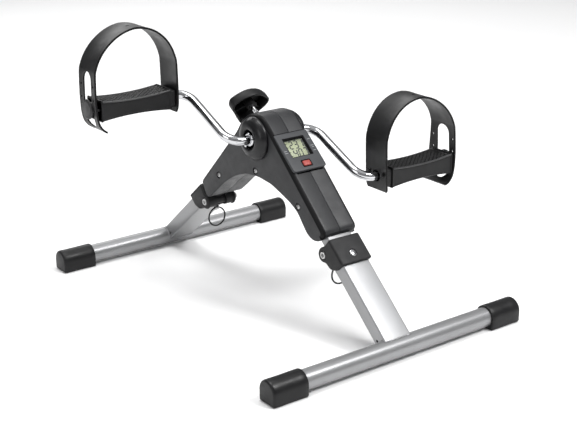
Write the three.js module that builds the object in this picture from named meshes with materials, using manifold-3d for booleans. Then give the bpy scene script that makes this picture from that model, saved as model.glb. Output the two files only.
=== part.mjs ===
// Folding pedal exerciser. Millimetres, +Z up, floor at z = 0.
// X runs across the machine, -Y is the side with the display, +Y is the far leg.
import * as THREE from 'three';
import { mergeVertices } from 'three/addons/utils/BufferGeometryUtils.js';
import Module from 'manifold-3d';

const wasm = await Module();
wasm.setup();
const { Manifold, Mesh } = wasm;

// ---- driving dimensions ----
const GAP = 0.3; // between touching parts
const BASE_Y = 250.6; // base tube axis from the middle
const BASE_Z = 14.6;
const BASE_R = 12.5;
const BASE_HALF = 190;
const CAP_R = 15.2;
const CAP_FOOT = 14.8; // half width of the sole, before its corners
const CAP_LEN = 48.7;
const CAP_END = 193;
const LEG_W = 40;
const LEG_T = 20;
const LEG_WALL = 1.5;
const LEG_TOP = 135;
const ANGLE = { front: 41.6, rear: 40 }; // leg slope, degrees
const PIVOT_S = 144.5; // hinge pin along the limb
const PIVOT_N = -11; // and behind its middle plane
const LOCK_S = 131;
const STUB_W = 36;
const STUB_T = 15;
const STUB_END = { front: [154, 244], rear: [154, 283] };
const BRACKET_HALF = 23.6;
const BRACKET_S = [114.5, 152];
const BRACKET_N = [-13.5, 14.5];
const HOUSE_HALF = 27;
const WALL = 2.6;
const HUB = [0.5, 222]; // crank axis y, z
const CRANK_R = 112;
const CRANK_ANGLE = 25; // above level, left crank pointing to +Y
const CRANK_X = 65.8;
const CRANK_BEND = 22;
const ROD_R = 6;
const PEDAL_IN = 99;
const PEDAL_OUT = 203.5;
const PEDAL_TIP = 212;
const STRAP_MID = 149;
const STRAP_R = 59;
const STRAP_T = 2.2;
const KNOB_ANGLE = 32;
const HOLE_MID = 6.1; // running bore of the crank rod

// housing outline (y, z), from the front limb's toe round the top to the rear limb
const OUTLINE = [
  [-140.2, 134], [-24.8, 243.5], [-16.7, 250.1], [-6.2, 253.6], [8.3, 253.2], [20.6, 249], [30.9, 241.8], [39, 232.7],
  [47, 221.3], [137.2, 129.5], [118.6, 110.3], [110.8, 115], [94, 128.5], [78.1, 142], [63, 152],
  [48.1, 159.9], [25.3, 168.3], [-2.6, 171.1], [-32.1, 168.2], [-60.7, 158.6], [-75, 153], [-86.4, 146.4],
  [-93, 139.5], [-98.8, 132.1], [-105, 125], [-111.3, 120.3], [-121.2, 117.5], [-132.3, 120], [-139.3, 127.2],
];

const rad = (d) => (d * Math.PI) / 180;

// ---- small helpers ----
function toManifold(geometry) {
  const g = new THREE.BufferGeometry();
  g.setAttribute('position', geometry.getAttribute('position').clone());
  if (geometry.index) g.setIndex(geometry.index.clone());
  const m = mergeVertices(g, 1e-4);
  const mesh = new Mesh({
    numProp: 3,
    vertProperties: new Float32Array(m.getAttribute('position').array),
    triVerts: new Uint32Array(m.index.array),
  });
  mesh.merge();
  return new Manifold(mesh);
}

function toGeometry(solid) {
  const mesh = solid.getMesh();
  const g = new THREE.BufferGeometry();
  g.setAttribute('position', new THREE.BufferAttribute(new Float32Array(mesh.vertProperties), 3));
  g.setIndex(new THREE.BufferAttribute(new Uint32Array(mesh.triVerts), 1));
  const flat = g.toNonIndexed();
  flat.computeVertexNormals();
  return flat;
}

const cut = (a, ...rest) => rest.reduce((s, t) => s.subtract(toManifold(t)), a);
const join = (a, ...rest) => rest.reduce((s, t) => s.add(toManifold(t)), a);

function shapeOf(points) {
  return new THREE.Shape(points.map(([u, v]) => new THREE.Vector2(u, v)));
}

// extrudes a (y, z) outline along X between x0 and x1
function prismX(shape, x0, x1, bevel = 0, steps = 1) {
  const s = shape instanceof THREE.Shape ? shape : shapeOf(shape);
  const g = new THREE.ExtrudeGeometry(s, {
    depth: x1 - x0 - 2 * bevel,
    bevelEnabled: bevel > 0,
    bevelThickness: bevel,
    bevelSize: bevel,
    bevelOffset: -bevel,
    bevelSegments: steps,
    curveSegments: 6,
  });
  g.translate(0, 0, x0 + bevel);
  g.applyMatrix4(new THREE.Matrix4().makeBasis(
    new THREE.Vector3(0, 1, 0),
    new THREE.Vector3(0, 0, 1),
    new THREE.Vector3(1, 0, 0),
  ));
  return g;
}

function boxAt(x0, x1, y0, y1, z0, z1) {
  const g = new THREE.BoxGeometry(x1 - x0, y1 - y0, z1 - z0);
  g.translate((x0 + x1) / 2, (y0 + y1) / 2, (z0 + z1) / 2);
  return g;
}

// cylinder along X
function rodX(r, x0, x1, y, z, n = 24) {
  const g = new THREE.CylinderGeometry(r, r, x1 - x0, n);
  g.rotateZ(-Math.PI / 2);
  g.translate((x0 + x1) / 2, y, z);
  return g;
}

// solid of revolution about X through (y, z); profile rows are [x, r]
function latheX(profile, y, z, n = 28) {
  const pts = profile.map(([x, r]) => new THREE.Vector2(r, x));
  const g = new THREE.LatheGeometry(pts, n);
  g.rotateZ(-Math.PI / 2);
  g.translate(0, y, z);
  return g;
}

// limb frame: (x, s, n) = across, up the limb, outward from its middle plane
function limb(side) {
  const k = side === 'front' ? -1 : 1;
  const a = rad(ANGLE[side]);
  const o = new THREE.Vector3(0, k * BASE_Y, BASE_Z);
  const u = new THREE.Vector3(0, -k * Math.cos(a), Math.sin(a));
  const n = new THREE.Vector3(0, k * Math.sin(a), Math.cos(a));
  const at = (s, m) => [o.y + u.y * s + n.y * m, o.z + u.z * s + n.z * m];
  return { k, o, u, n, at };
}

// outline given in (s, n) of a limb, turned into (y, z)
const inLimb = (l, pts) => pts.map(([s, n]) => l.at(s, n));

function ringPoints(cx, cy, r, n, from = 0, to = 2 * Math.PI) {
  const out = [];
  for (let i = 0; i < n; i++) {
    const a = from + ((to - from) * i) / n;
    out.push([cx + r * Math.cos(a), cy + r * Math.sin(a)]);
  }
  return out;
}

// cylinder along the normal of a limb, from n0 to n1
function rodN(l, r, s, n0, n1, x = 0, seg = 14) {
  const g = new THREE.CylinderGeometry(r, r, n1 - n0, seg);
  g.applyQuaternion(new THREE.Quaternion().setFromUnitVectors(new THREE.Vector3(0, 1, 0), l.n));
  const [y, z] = l.at(s, (n0 + n1) / 2);
  g.translate(x, y, z);
  return g;
}

// block in the limb frame
function blockL(l, x0, x1, s0, s1, n0, n1) {
  return prismX(inLimb(l, [[s0, n0], [s1, n0], [s1, n1], [s0, n1]]), x0, x1);
}

// offset of a closed outline towards its inside
function inset(points, d) {
  const n = points.length;
  let area = 0;
  points.forEach(([x, y], i) => {
    const [u, v] = points[(i + 1) % n];
    area += x * v - u * y;
  });
  const sign = area > 0 ? 1 : -1;
  return points.map(([x, y], i) => {
    const [px, py] = points[(i + n - 1) % n];
    const [qx, qy] = points[(i + 1) % n];
    const a = new THREE.Vector2(x - px, y - py).normalize();
    const b = new THREE.Vector2(qx - x, qy - y).normalize();
    const na = new THREE.Vector2(-a.y, a.x).multiplyScalar(sign);
    const nb = new THREE.Vector2(-b.y, b.x).multiplyScalar(sign);
    const m = na.clone().add(nb).normalize();
    const k = d / Math.max(0.5, m.dot(na));
    return [x + m.x * k, y + m.y * k];
  });
}

const group = new THREE.Group();
const COLOUR = {
  shell: 0x2b2c2e, bezel: 0x4a4c4f, lcd: 0x9aa888, glass: 0xdfe6e6, red: 0xb32b27, board: 0x2f5a36,
  silver: 0xb4b7bb, chrome: 0xd9dbde, black: 0x17181a, rubber: 0x1c1c1d, steel: 0x8f9296, felt: 0x6b5a46,
};

function part(name, geometry, colour, metal = 0, rough = 0.6) {
  const g = geometry instanceof Manifold ? toGeometry(geometry) : geometry;
  const material = new THREE.MeshStandardMaterial({ color: COLOUR[colour], metalness: metal, roughness: rough });
  material.name = colour;
  const mesh = new THREE.Mesh(g, material);
  mesh.name = name;
  group.add(mesh);
}

// ---- display frame on the sloping front face ----
const P0 = [-79.9, 195.9];
const P1 = [-35.3, 233.4];
const DL = Math.hypot(P1[0] - P0[0], P1[1] - P0[1]);
const DU = [(P1[0] - P0[0]) / DL, (P1[1] - P0[1]) / DL];
const dAt = (s, n) => [P0[0] + DU[0] * s - DU[1] * n, P0[1] + DU[1] * s + DU[0] * n];
const blockD = (x0, x1, s0, s1, n0, n1) => prismX([dAt(s0, n0), dAt(s1, n0), dAt(s1, n1), dAt(s0, n1)], x0, x1);
const BEZEL = { x0: -24.5, x1: 26.5 }; // a little wider to the right, as in the photograph
const WINDOW = { x0: -16, x1: 17.4, s0: 20.2, s1: 50.2 };
const BUTTON = { x: 5.6, s0: 6, s1: 13.2 };

// ---- housing ----
const kn = [Math.cos(rad(KNOB_ANGLE)), Math.sin(rad(KNOB_ANGLE))];
const kAt = (d, m) => [HUB[0] + kn[0] * d - kn[1] * m, HUB[1] + kn[1] * d + kn[0] * m];

// cylinder along the tension rod's line, between distances d0 and d1 from the crank axis
function rodK(r, d0, d1, seg = 24, r1 = r) {
  const g = new THREE.CylinderGeometry(r1, r, d1 - d0, seg);
  g.applyQuaternion(new THREE.Quaternion().setFromUnitVectors(
    new THREE.Vector3(0, 1, 0),
    new THREE.Vector3(0, kn[0], kn[1]),
  ));
  const [y, z] = kAt((d0 + d1) / 2, 0);
  g.translate(0, y, z);
  return g;
}

const SCREWS = [[89.4, 150.4], [2.7, 177.6], [-88.9, 153.6]];

function makeHousing() {
  const outer = toManifold(prismX(OUTLINE, -HOUSE_HALF, HOUSE_HALF, 2.6, 1));
  const hollow = prismX(inset(OUTLINE, WALL), -HOUSE_HALF + WALL, HOUSE_HALF - WALL);
  let body = cut(outer, hollow);
  const [my, mz] = SCREWS[1];
  body = join(body, rodX(5, -HOUSE_HALF + 1.5, HOUSE_HALF - 1.5, my, mz, 14));
  const openings = [
    rodX(10.3, -30, 30, HUB[0], HUB[1], 20),
    blockD(-21.6, 21.6, 3.6, 55.4, -14, 6),
    blockD(BEZEL.x0 - 0.4, 40, -0.4, 58.4, -3.6, 8),
    rodK(3.6, 24, 45),
  ];
  for (const side of ['front', 'rear']) {
    const l = limb(side);
    openings.push(blockL(l, -STUB_W / 2 - GAP, STUB_W / 2 + GAP, 150, 185, -STUB_T / 2 - GAP, STUB_T / 2 + GAP));
  }
  SCREWS.forEach(([y, z]) => {
    openings.push(rodX(2.3, -30, 22.5, y, z, 10));
    openings.push(rodX(4.4, -30, -HOUSE_HALF + 1.6, y, z, 14));
  });
  body = cut(body, ...openings);
  const left = body.intersect(toManifold(boxAt(-40, -GAP / 2, -200, 200, 50, 300)));
  const right = body.intersect(toManifold(boxAt(GAP / 2, 40, -200, 200, 50, 300)));
  part('housing_left', left, 'shell', 0, 0.55);
  part('housing_right', right, 'shell', 0, 0.55);
}

function makeHubCovers() {
  for (const [side, k] of [['left', -1], ['right', 1]]) {
    const x = HOUSE_HALF + GAP;
    const profile = [[x, 11.4], [x, 28.4], [x + 2.4, 27.6], [x + 5, 24.6], [x + 6.8, 20], [x + 7.6, 15.5],
      [x + 7.2, 12.4], [x + 5.6, 11.4], [x, 11.4]];
    const g = latheX(k > 0 ? profile : profile.map(([px, r]) => [-px, r]).reverse(), HUB[0], HUB[1], 24);
    part(`hub_cover_${side}`, g, 'black', 0, 0.45);
    const b = [[20.8, HOLE_MID], [20.8, 13.4], [HOUSE_HALF - WALL - GAP, 13.4], [HOUSE_HALF - WALL - GAP, 10],
      [HOUSE_HALF - 0.2, 10], [HOUSE_HALF - 0.2, HOLE_MID], [20.8, HOLE_MID]];
    const bg = latheX(k > 0 ? b : b.map(([px, r]) => [-px, r]).reverse(), HUB[0], HUB[1], 20);
    part(`bearing_${side}`, bg, 'steel', 0.6, 0.4);
  }
}

function makeScrews() {
  SCREWS.forEach(([y, z], i) => {
    const head = toManifold(rodX(3.6, -HOUSE_HALF - 0.6, -HOUSE_HALF + 1.3, y, z, 12));
    const slot = boxAt(-HOUSE_HALF - 1, -HOUSE_HALF + 0.3, y - 2.4, y + 2.4, z - 0.45, z + 0.45);
    const slot2 = boxAt(-HOUSE_HALF - 1, -HOUSE_HALF + 0.3, y - 0.45, y + 0.45, z - 2.4, z + 2.4);
    const s = cut(join(head, rodX(2, -HOUSE_HALF + 1, 20, y, z, 8)), slot, slot2);
    part(`housing_screw_${i + 1}`, s, 'steel', 0.8, 0.35);
  });
}

function makeStub(side) {
  const l = limb(side);
  const [s0, s1] = STUB_END[side];
  let tube = toManifold(blockL(l, -STUB_W / 2, STUB_W / 2, s0, s1, -STUB_T / 2, STUB_T / 2));
  const w = LEG_WALL;
  tube = cut(tube, blockL(l, -STUB_W / 2 + w, STUB_W / 2 - w, s0 - 5, s1 + 5, -STUB_T / 2 + w, STUB_T / 2 - w));
  const [y, z] = side === 'front' ? SCREWS[2] : SCREWS[0];
  tube = cut(tube, rodX(2.4, -30, 30, y, z, 10));
  part(`${side}_upper_tube`, tube, 'silver', 0.7, 0.4);
}

// steel lug riveted in the upper tube: knuckle on the hinge pin and a locking tongue below it
function makeLug(side) {
  const l = limb(side);
  const p = (a, b) => [PIVOT_S + a, PIVOT_N + b];
  const arc = ringPoints(PIVOT_S, PIVOT_N, 6.2, 12, rad(130), rad(405));
  const outline = inLimb(l, [p(40, 5.4), p(40, 8), p(1, 8), p(-3, 6.2), p(-17.6, 5.6), p(-17.6, 3.4), p(-5.2, 3.4),
    ...arc, p(8, 5.4)]);
  let lug = toManifold(prismX(outline, -7.6, 7.6));
  const [y, z] = l.at(PIVOT_S, PIVOT_N);
  lug = cut(lug, rodX(3.1, -20, 20, y, z, 20), rodN(l, 2.9, LOCK_S, -12, 0));
  part(`${side}_hinge_lug`, lug, 'steel', 0.7, 0.4);
}

// ---- display ----
function makeDisplay() {
  const pts = [dAt(0, -3.3), dAt(0, 0), dAt(58, 0), dAt(58, -3.3), dAt(55, -3.3), dAt(55, -6), dAt(4, -6), dAt(4, -3.3)];
  let bezel = toManifold(prismX(pts, BEZEL.x0, BEZEL.x1));
  const flange = [blockD(-30, -21.2, -3, 60, -8, -3.3), blockD(21.2, 30, -3, 60, -8, -3.3)];
  const { x0, x1, s0, s1 } = WINDOW;
  const win = blockD(x0, x1, s0, s1, -10, 3);
  const rebate = blockD(x0 - 1.6, x1 + 1.6, s0 - 1.6, s1 + 1.6, -10, -1.6);
  const hole = blockD(-BUTTON.x - 0.7, BUTTON.x + 0.7, BUTTON.s0 - 0.7, BUTTON.s1 + 0.7, -10, 3);
  const guide = blockD(-BUTTON.x - 1.9, BUTTON.x + 1.9, BUTTON.s0 - 1.9, BUTTON.s1 + 1.9, -10, -1.9);
  bezel = cut(bezel, ...flange, win, rebate, hole, guide);
  part('display_bezel', bezel, 'bezel', 0, 0.5);
  const o = 1.3;
  part('lcd_window', blockD(x0 - o, x1 + o, s0 - o, s1 + o, -3.1, -1.9), 'glass', 0, 0.1);
  part('lcd_panel', blockD(x0 - o, x1 + o, s0 - o, s1 + o, -5.9, -3.4), 'lcd', 0, 0.4);
  part('display_board', blockD(-20, 20, 5, 54, -8.6, -7), 'board', 0, 0.6);
  const cap = toManifold(blockD(-BUTTON.x, BUTTON.x, BUTTON.s0, BUTTON.s1, -5, 0.8));
  const foot = blockD(-BUTTON.x - 1.5, BUTTON.x + 1.5, BUTTON.s0 - 1.5, BUTTON.s1 + 1.5, -5, -2.2);
  part('reset_button', join(cap, foot), 'red', 0, 0.45);
  const [y, z] = dAt(36, -11);
  const cell = new THREE.CylinderGeometry(8, 8, 3.2, 20);
  cell.applyQuaternion(new THREE.Quaternion().setFromUnitVectors(
    new THREE.Vector3(0, 1, 0),
    new THREE.Vector3(0, -DU[1], DU[0]),
  ));
  cell.translate(0, y, z);
  part('button_cell', cell, 'steel', 0.8, 0.3);
}

// ---- crank ----
function bentRod(points, bend, r, seg = 10) {
  const v = points.map((p) => new THREE.Vector3(...p));
  const path = new THREE.CurvePath();
  let last = v[0];
  for (let i = 1; i < v.length - 1; i++) {
    const a = v[i - 1].clone().sub(v[i]).setLength(bend).add(v[i]);
    const b = v[i + 1].clone().sub(v[i]).setLength(bend).add(v[i]);
    path.add(new THREE.LineCurve3(last, a));
    path.add(new THREE.QuadraticBezierCurve3(a, v[i].clone().lerp(a.clone().lerp(b, 0.5), 0.17), b));
    last = b;
  }
  path.add(new THREE.LineCurve3(last, v[v.length - 1]));
  const pts = [];
  path.curves.forEach((c) => {
    const n = c.isLineCurve3 ? 1 : 5;
    for (let i = pts.length ? 1 : 0; i <= n; i++) pts.push(c.getPoint(i / n));
  });
  const line = new THREE.CurvePath();
  for (let i = 1; i < pts.length; i++) line.add(new THREE.LineCurve3(pts[i - 1], pts[i]));
  return { pts, r, seg };
}

// round bar through given points, rings set square to the path
function sweepRound({ pts, r, seg }) {
  const pos = [];
  const idx = [];
  const n = pts.length;
  const dir = (i) => pts[Math.min(i + 1, n - 1)].clone().sub(pts[Math.max(i - 1, 0)]).normalize();
  let side = new THREE.Vector3(0, 0, 1);
  for (let i = 0; i < n; i++) {
    const t = dir(i);
    side = side.clone().sub(t.clone().multiplyScalar(side.dot(t)));
    if (side.length() < 1e-3) side = new THREE.Vector3(0, 1, 0).sub(t.clone().multiplyScalar(t.y));
    side.normalize();
    const up = t.clone().cross(side);
    for (let j = 0; j < seg; j++) {
      const a = (2 * Math.PI * j) / seg;
      const p = pts[i].clone().addScaledVector(side, r * Math.cos(a)).addScaledVector(up, r * Math.sin(a));
      pos.push(p.x, p.y, p.z);
    }
  }
  const c0 = pos.length / 3;
  pos.push(...pts[0].toArray(), ...pts[n - 1].toArray());
  for (let i = 0; i < n - 1; i++) {
    for (let j = 0; j < seg; j++) {
      const a = i * seg + j;
      const b = i * seg + ((j + 1) % seg);
      idx.push(a, b, a + seg, b, b + seg, a + seg);
    }
  }
  for (let j = 0; j < seg; j++) {
    const k = (j + 1) % seg;
    idx.push(c0, k, j, c0 + 1, (n - 1) * seg + j, (n - 1) * seg + k);
  }
  const g = new THREE.BufferGeometry();
  g.setAttribute('position', new THREE.BufferAttribute(new Float32Array(pos), 3));
  g.setIndex(idx);
  const flat = g.toNonIndexed();
  flat.computeVertexNormals();
  return flat;
}

function pedalAxis(k) {
  // k = -1 left, +1 right
  const a = rad(CRANK_ANGLE);
  return [HUB[0] - k * CRANK_R * Math.cos(a), HUB[1] - k * CRANK_R * Math.sin(a)];
}

function makeCrank() {
  let drum = toManifold(rodX(ROD_R, -27, 27, HUB[0], HUB[1], 24));
  drum = join(drum, rodX(16, -9, 9, HUB[0], HUB[1], 24));
  drum = cut(drum, rodX(2.2, 5.2, 12, HUB[0], HUB[1] - 11.5, 12));
  part('axle_drum', drum, 'steel', 0.7, 0.35);
  part('drum_magnet', rodX(2, 5.6, 9.4, HUB[0], HUB[1] - 11.5, 12), 'steel', 0.5, 0.4);
  part('reed_sensor', rodX(2, 10.4, 20, HUB[0], HUB[1] - 24, 12), 'glass', 0, 0.2);
  for (const [side, k] of [['left', -1], ['right', 1]]) {
    const [py, pz] = pedalAxis(k);
    const rod = bentRod([[k * 27.4, ...HUB], [k * CRANK_X, ...HUB], [k * CRANK_X, py, pz],
      [k * (PEDAL_OUT + 1.5), py, pz]], CRANK_BEND, ROD_R, 16);
    part(`crank_${side}`, sweepRound(rod), 'chrome', 1, 0.12);
    const c = [[28.2, ROD_R + 0.3], [28.2, 9.6], [33, 9.6], [34.6, 8.4], [34.6, ROD_R + 0.3], [28.2, ROD_R + 0.3]];
    let collar = toManifold(latheX(k > 0 ? c : c.map(([x, r]) => [-x, r]).reverse(), HUB[0], HUB[1], 16));
    const a = rad(CRANK_ANGLE + 90);
    for (const q of [-1, 1]) {
      const y = HUB[0] + q * 8.4 * Math.cos(a);
      const z = HUB[1] + q * 8.4 * Math.sin(a);
      const x0 = k > 0 ? 30 : -36.4;
      collar = join(collar, rodX(1.9, x0, x0 + 6.4, y, z, 8));
    }
    part(`crank_collar_${side}`, collar, 'chrome', 1, 0.15);
  }
}

// ---- tension knob ----
function makeTension() {
  const s = new THREE.Shape();
  s.moveTo(-26.5, 7);
  s.quadraticCurveTo(0, 31, 26.5, 7);
  s.quadraticCurveTo(31, 1, 25, -8);
  s.quadraticCurveTo(16, -18, 7, -31);
  s.quadraticCurveTo(0, -38, -7, -31);
  s.quadraticCurveTo(-16, -18, -25, -8);
  s.quadraticCurveTo(-31, 1, -26.5, 7);
  const pts = s.getPoints(4).slice(0, -1).map((p) => [p.x, p.y]);
  const place = (g) => g.applyMatrix4(new THREE.Matrix4().makeBasis(
    new THREE.Vector3(1, 0, 0),
    new THREE.Vector3(0, -kn[1], kn[0]),
    new THREE.Vector3(0, -kn[0], -kn[1]),
  )).translate(0, HUB[0], HUB[1]);
  const slab = (outline, d0, d1, bevel = 0) => {
    const g = new THREE.ExtrudeGeometry(shapeOf(outline), {
      depth: d1 - d0 - 2 * bevel, bevelEnabled: bevel > 0, bevelThickness: bevel, bevelSize: bevel,
      bevelOffset: -bevel, bevelSegments: 1,
    });
    return place(g.translate(0, 0, -d1 + bevel));
  };
  // x stays x, y becomes the in-plane up, depth runs back towards the crank axis
  let knob = toManifold(slab(pts, 56, 70.5, 1.2));
  knob = cut(knob, slab(inset(pts, 2.6), 50, 67.6));
  knob = join(knob, rodK(7, 53, 68, 14));
  const rib = (a) => {
    const g = new THREE.BoxGeometry(22, 2, 9);
    g.translate(14, 0, -63.2);
    g.rotateZ(a);
    return place(g);
  };
  for (const a of [90, 210, 330]) knob = join(knob, rib(rad(a)));
  const shell = slab(pts, 56, 70.5, 1.2);
  knob = knob.intersect(toManifold(shell).add(toManifold(rodK(7, 53, 68, 14))));
  knob = cut(knob, rodK(3.3, 45, 65));
  part('tension_knob', knob, 'black', 0, 0.55);
  part('tension_rod', rodK(3, 21.4, 64.6, 16), 'chrome', 0.9, 0.2);
  const arc0 = ringPoints(0, 0, 20.3, 9, rad(-33), rad(41.5));
  const arc1 = [[23, 13.6], [28, 7.4], [28, -7.4], [23, -13.6]];
  const turned = (q) => q.map(([d, m]) => kAt(d, m));
  let shoe = toManifold(prismX(turned([...arc0, ...arc1]), -8, 8));
  shoe = cut(shoe, rodK(3.06, 15, 40));
  part('brake_shoe', shoe, 'black', 0, 0.6);
  const inner = ringPoints(0, 0, 17.8, 10, rad(-32), rad(39));
  const outerArc = ringPoints(0, 0, 20, 10, rad(-32), rad(39)).reverse();
  part('brake_pad', prismX(turned([...inner, ...outerArc]), -7.6, 7.6), 'felt', 0, 0.95);
}

// ---- pedals ----
function strapOutline(k, r) {
  // centre line of the band in (x, z) about the pedal axis, inner end first
  const pts = [];
  const inX = STRAP_MID - r;
  const outX = STRAP_MID + r;
  pts.push([inX + 1.5, -19], [inX, -4], [inX - 0.4, 18]);
  for (let i = 0; i <= 12; i++) {
    const a = Math.PI - (Math.PI * i) / 12;
    pts.push([STRAP_MID + r * Math.cos(a), 38 + (r + 1) * Math.sin(a)]);
  }
  pts.push([outX, 18], [outX - 0.6, -8], [outX - 4, -19], [outX - 11, -28]);
  return pts.map(([x, z]) => [k * x, z]);
}

function thicken(line, t) {
  const n = line.length;
  const a = [];
  const b = [];
  for (let i = 0; i < n; i++) {
    const p = line[Math.max(0, i - 1)];
    const q = line[Math.min(n - 1, i + 1)];
    const d = new THREE.Vector2(q[0] - p[0], q[1] - p[1]).normalize();
    a.push([line[i][0] - d.y * t, line[i][1] + d.x * t]);
    b.push([line[i][0] + d.y * t, line[i][1] - d.x * t]);
  }
  return [...a, ...b.reverse()];
}

// extrudes an (x, z) outline along Y
function prismY(points, y0, y1) {
  const g = new THREE.ExtrudeGeometry(shapeOf(points), { depth: y1 - y0, bevelEnabled: false });
  g.applyMatrix4(new THREE.Matrix4().makeBasis(
    new THREE.Vector3(1, 0, 0),
    new THREE.Vector3(0, 0, 1),
    new THREE.Vector3(0, -1, 0),
  ));
  return g.translate(0, y1, 0);
}

function span(k, a, b) {
  return k > 0 ? [a, b] : [-b, -a];
}

function makePedal(side, k) {
  const [py, pz] = pedalAxis(k);
  const mv = (g) => g.translate(0, py, pz);
  // body: hollow moulding, tread dips in the middle and the underside arches
  const rows = 5;
  const top = [];
  const bottom = [];
  for (let i = 0; i <= rows; i++) {
    const t = i / rows;
    const x = PEDAL_IN + (PEDAL_OUT - PEDAL_IN) * t;
    const sag = 4 * t * (1 - t);
    top.push([k * x, 12.4 - 3.2 * sag]);
    bottom.push([k * x, -15 + 3.2 * sag]);
  }
  let body = toManifold(prismY([...top, ...bottom.reverse()], -18.5, 18.5));
  const pocket = [];
  for (const [a, b] of [[-16.4, -9.4], [9.4, 16.4]]) {
    const [x0, x1] = span(k, PEDAL_IN + 3, PEDAL_OUT - 3);
    pocket.push(mv(boxAt(x0, x1, a, b, -30, 6.4)));
  }
  const [gx0, gx1] = span(k, PEDAL_IN - 1, PEDAL_OUT + 1);
  const grooves = [];
  for (let i = 0; i < 5; i++) {
    const y = -13 + 6.5 * i;
    grooves.push(mv(boxAt(gx0, gx1, y - 1, y + 1, 11.2, 30)));
  }
  body = toManifold(mv(toGeometry(body)));
  body = cut(body, ...pocket);
  const groove = thicken(top.map(([x, z]) => [x, z + 4]), 4.6);
  for (let i = 0; i < 5; i++) {
    const y = -13 + 6.5 * i;
    body = cut(body, mv(prismY(groove, y - 1.1, y + 1.1)));
  }
  const [ax0, ax1] = span(k, PEDAL_IN - 12, PEDAL_TIP);
  body = cut(body, rodX(HOLE_MID, ax0, ax1, py, pz, 24));
  // pegs that the strap buttons onto
  const pegs = [];
  for (const y of [-13.6, 13.6]) {
    const [o0, o1] = span(k, PEDAL_OUT - 1, PEDAL_OUT + 6.6);
    pegs.push(rodX(2, o0, o1, py + y, pz, 10));
    const [i0, i1] = span(k, PEDAL_IN - 12.2, PEDAL_IN + 1);
    pegs.push(rodX(2.4, i0, i1, py + y, pz + 4, 10));
  }
  const [f0, f1] = span(k, PEDAL_IN - 6.4, PEDAL_IN + 0.5);
  const shoulder = toManifold(boxAt(f0, f1, py - 17, py + 17, pz - 13, pz + 10));
  body = join(body, ...pegs).add(shoulder.subtract(toManifold(rodX(HOLE_MID, ax0, ax1, py, pz, 24))));
  part(`pedal_body_${side}`, body, 'black', 0, 0.6);

  // end cap over the spindle, standing through the strap's slot
  const ordered = [[PEDAL_TIP, 0], [PEDAL_TIP, 10.4], [PEDAL_TIP - 1.2, 11.6], [PEDAL_OUT + 5.4, 11.6],
    [PEDAL_OUT + 5.4, 8.6], [PEDAL_OUT + GAP, 8.6], [PEDAL_OUT + GAP, 6.6], [PEDAL_OUT + 3, 6.6], [PEDAL_OUT + 3, 0]];
  const cap = latheX((k > 0 ? ordered : ordered.map(([x, r]) => [-x, r]).reverse()).reverse(), py, pz, 20);
  part(`pedal_cap_${side}`, cap, 'black', 0, 0.5);

  // strap
  const band = thicken(strapOutline(k, STRAP_R), STRAP_T / 2);
  let strap = toManifold(mv(prismY(band, -20.5, 20.5)));
  const ox = k * (STRAP_MID + STRAP_R);
  const slotLow = -15;
  const slotHigh = 37;
  strap = cut(
    strap,
    boxAt(ox - 14, ox + 14, py - 9.6, py + 9.6, pz + slotLow, pz + slotHigh),
    rodX(9.6, ox - 14, ox + 14, py, pz + slotHigh, 14),
    rodX(9.6, ox - 14, ox + 14, py, pz + slotLow, 14),
  );
  for (const y of [-14.6, 14.6]) {
    for (const z of [14, 30]) strap = cut(strap, rodX(1.6, ox - 14, ox + 14, py + y, pz + z, 8));
    strap = cut(strap, rodX(2.4, ox - 14, ox + 14, py + y * (13.6 / 14.6), pz, 12));
    const ix = k * (STRAP_MID - STRAP_R);
    strap = cut(strap, rodX(2.8, ix - 14, ix + 14, py + y * (13.6 / 14.6), pz + 4, 12));
  }
  const ix = k * (STRAP_MID - STRAP_R);
  strap = cut(strap, rodX(8, ix - 14, ix + 14, py, pz, 16));
  part(`pedal_strap_${side}`, strap, 'black', 0, 0.5);
}

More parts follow.
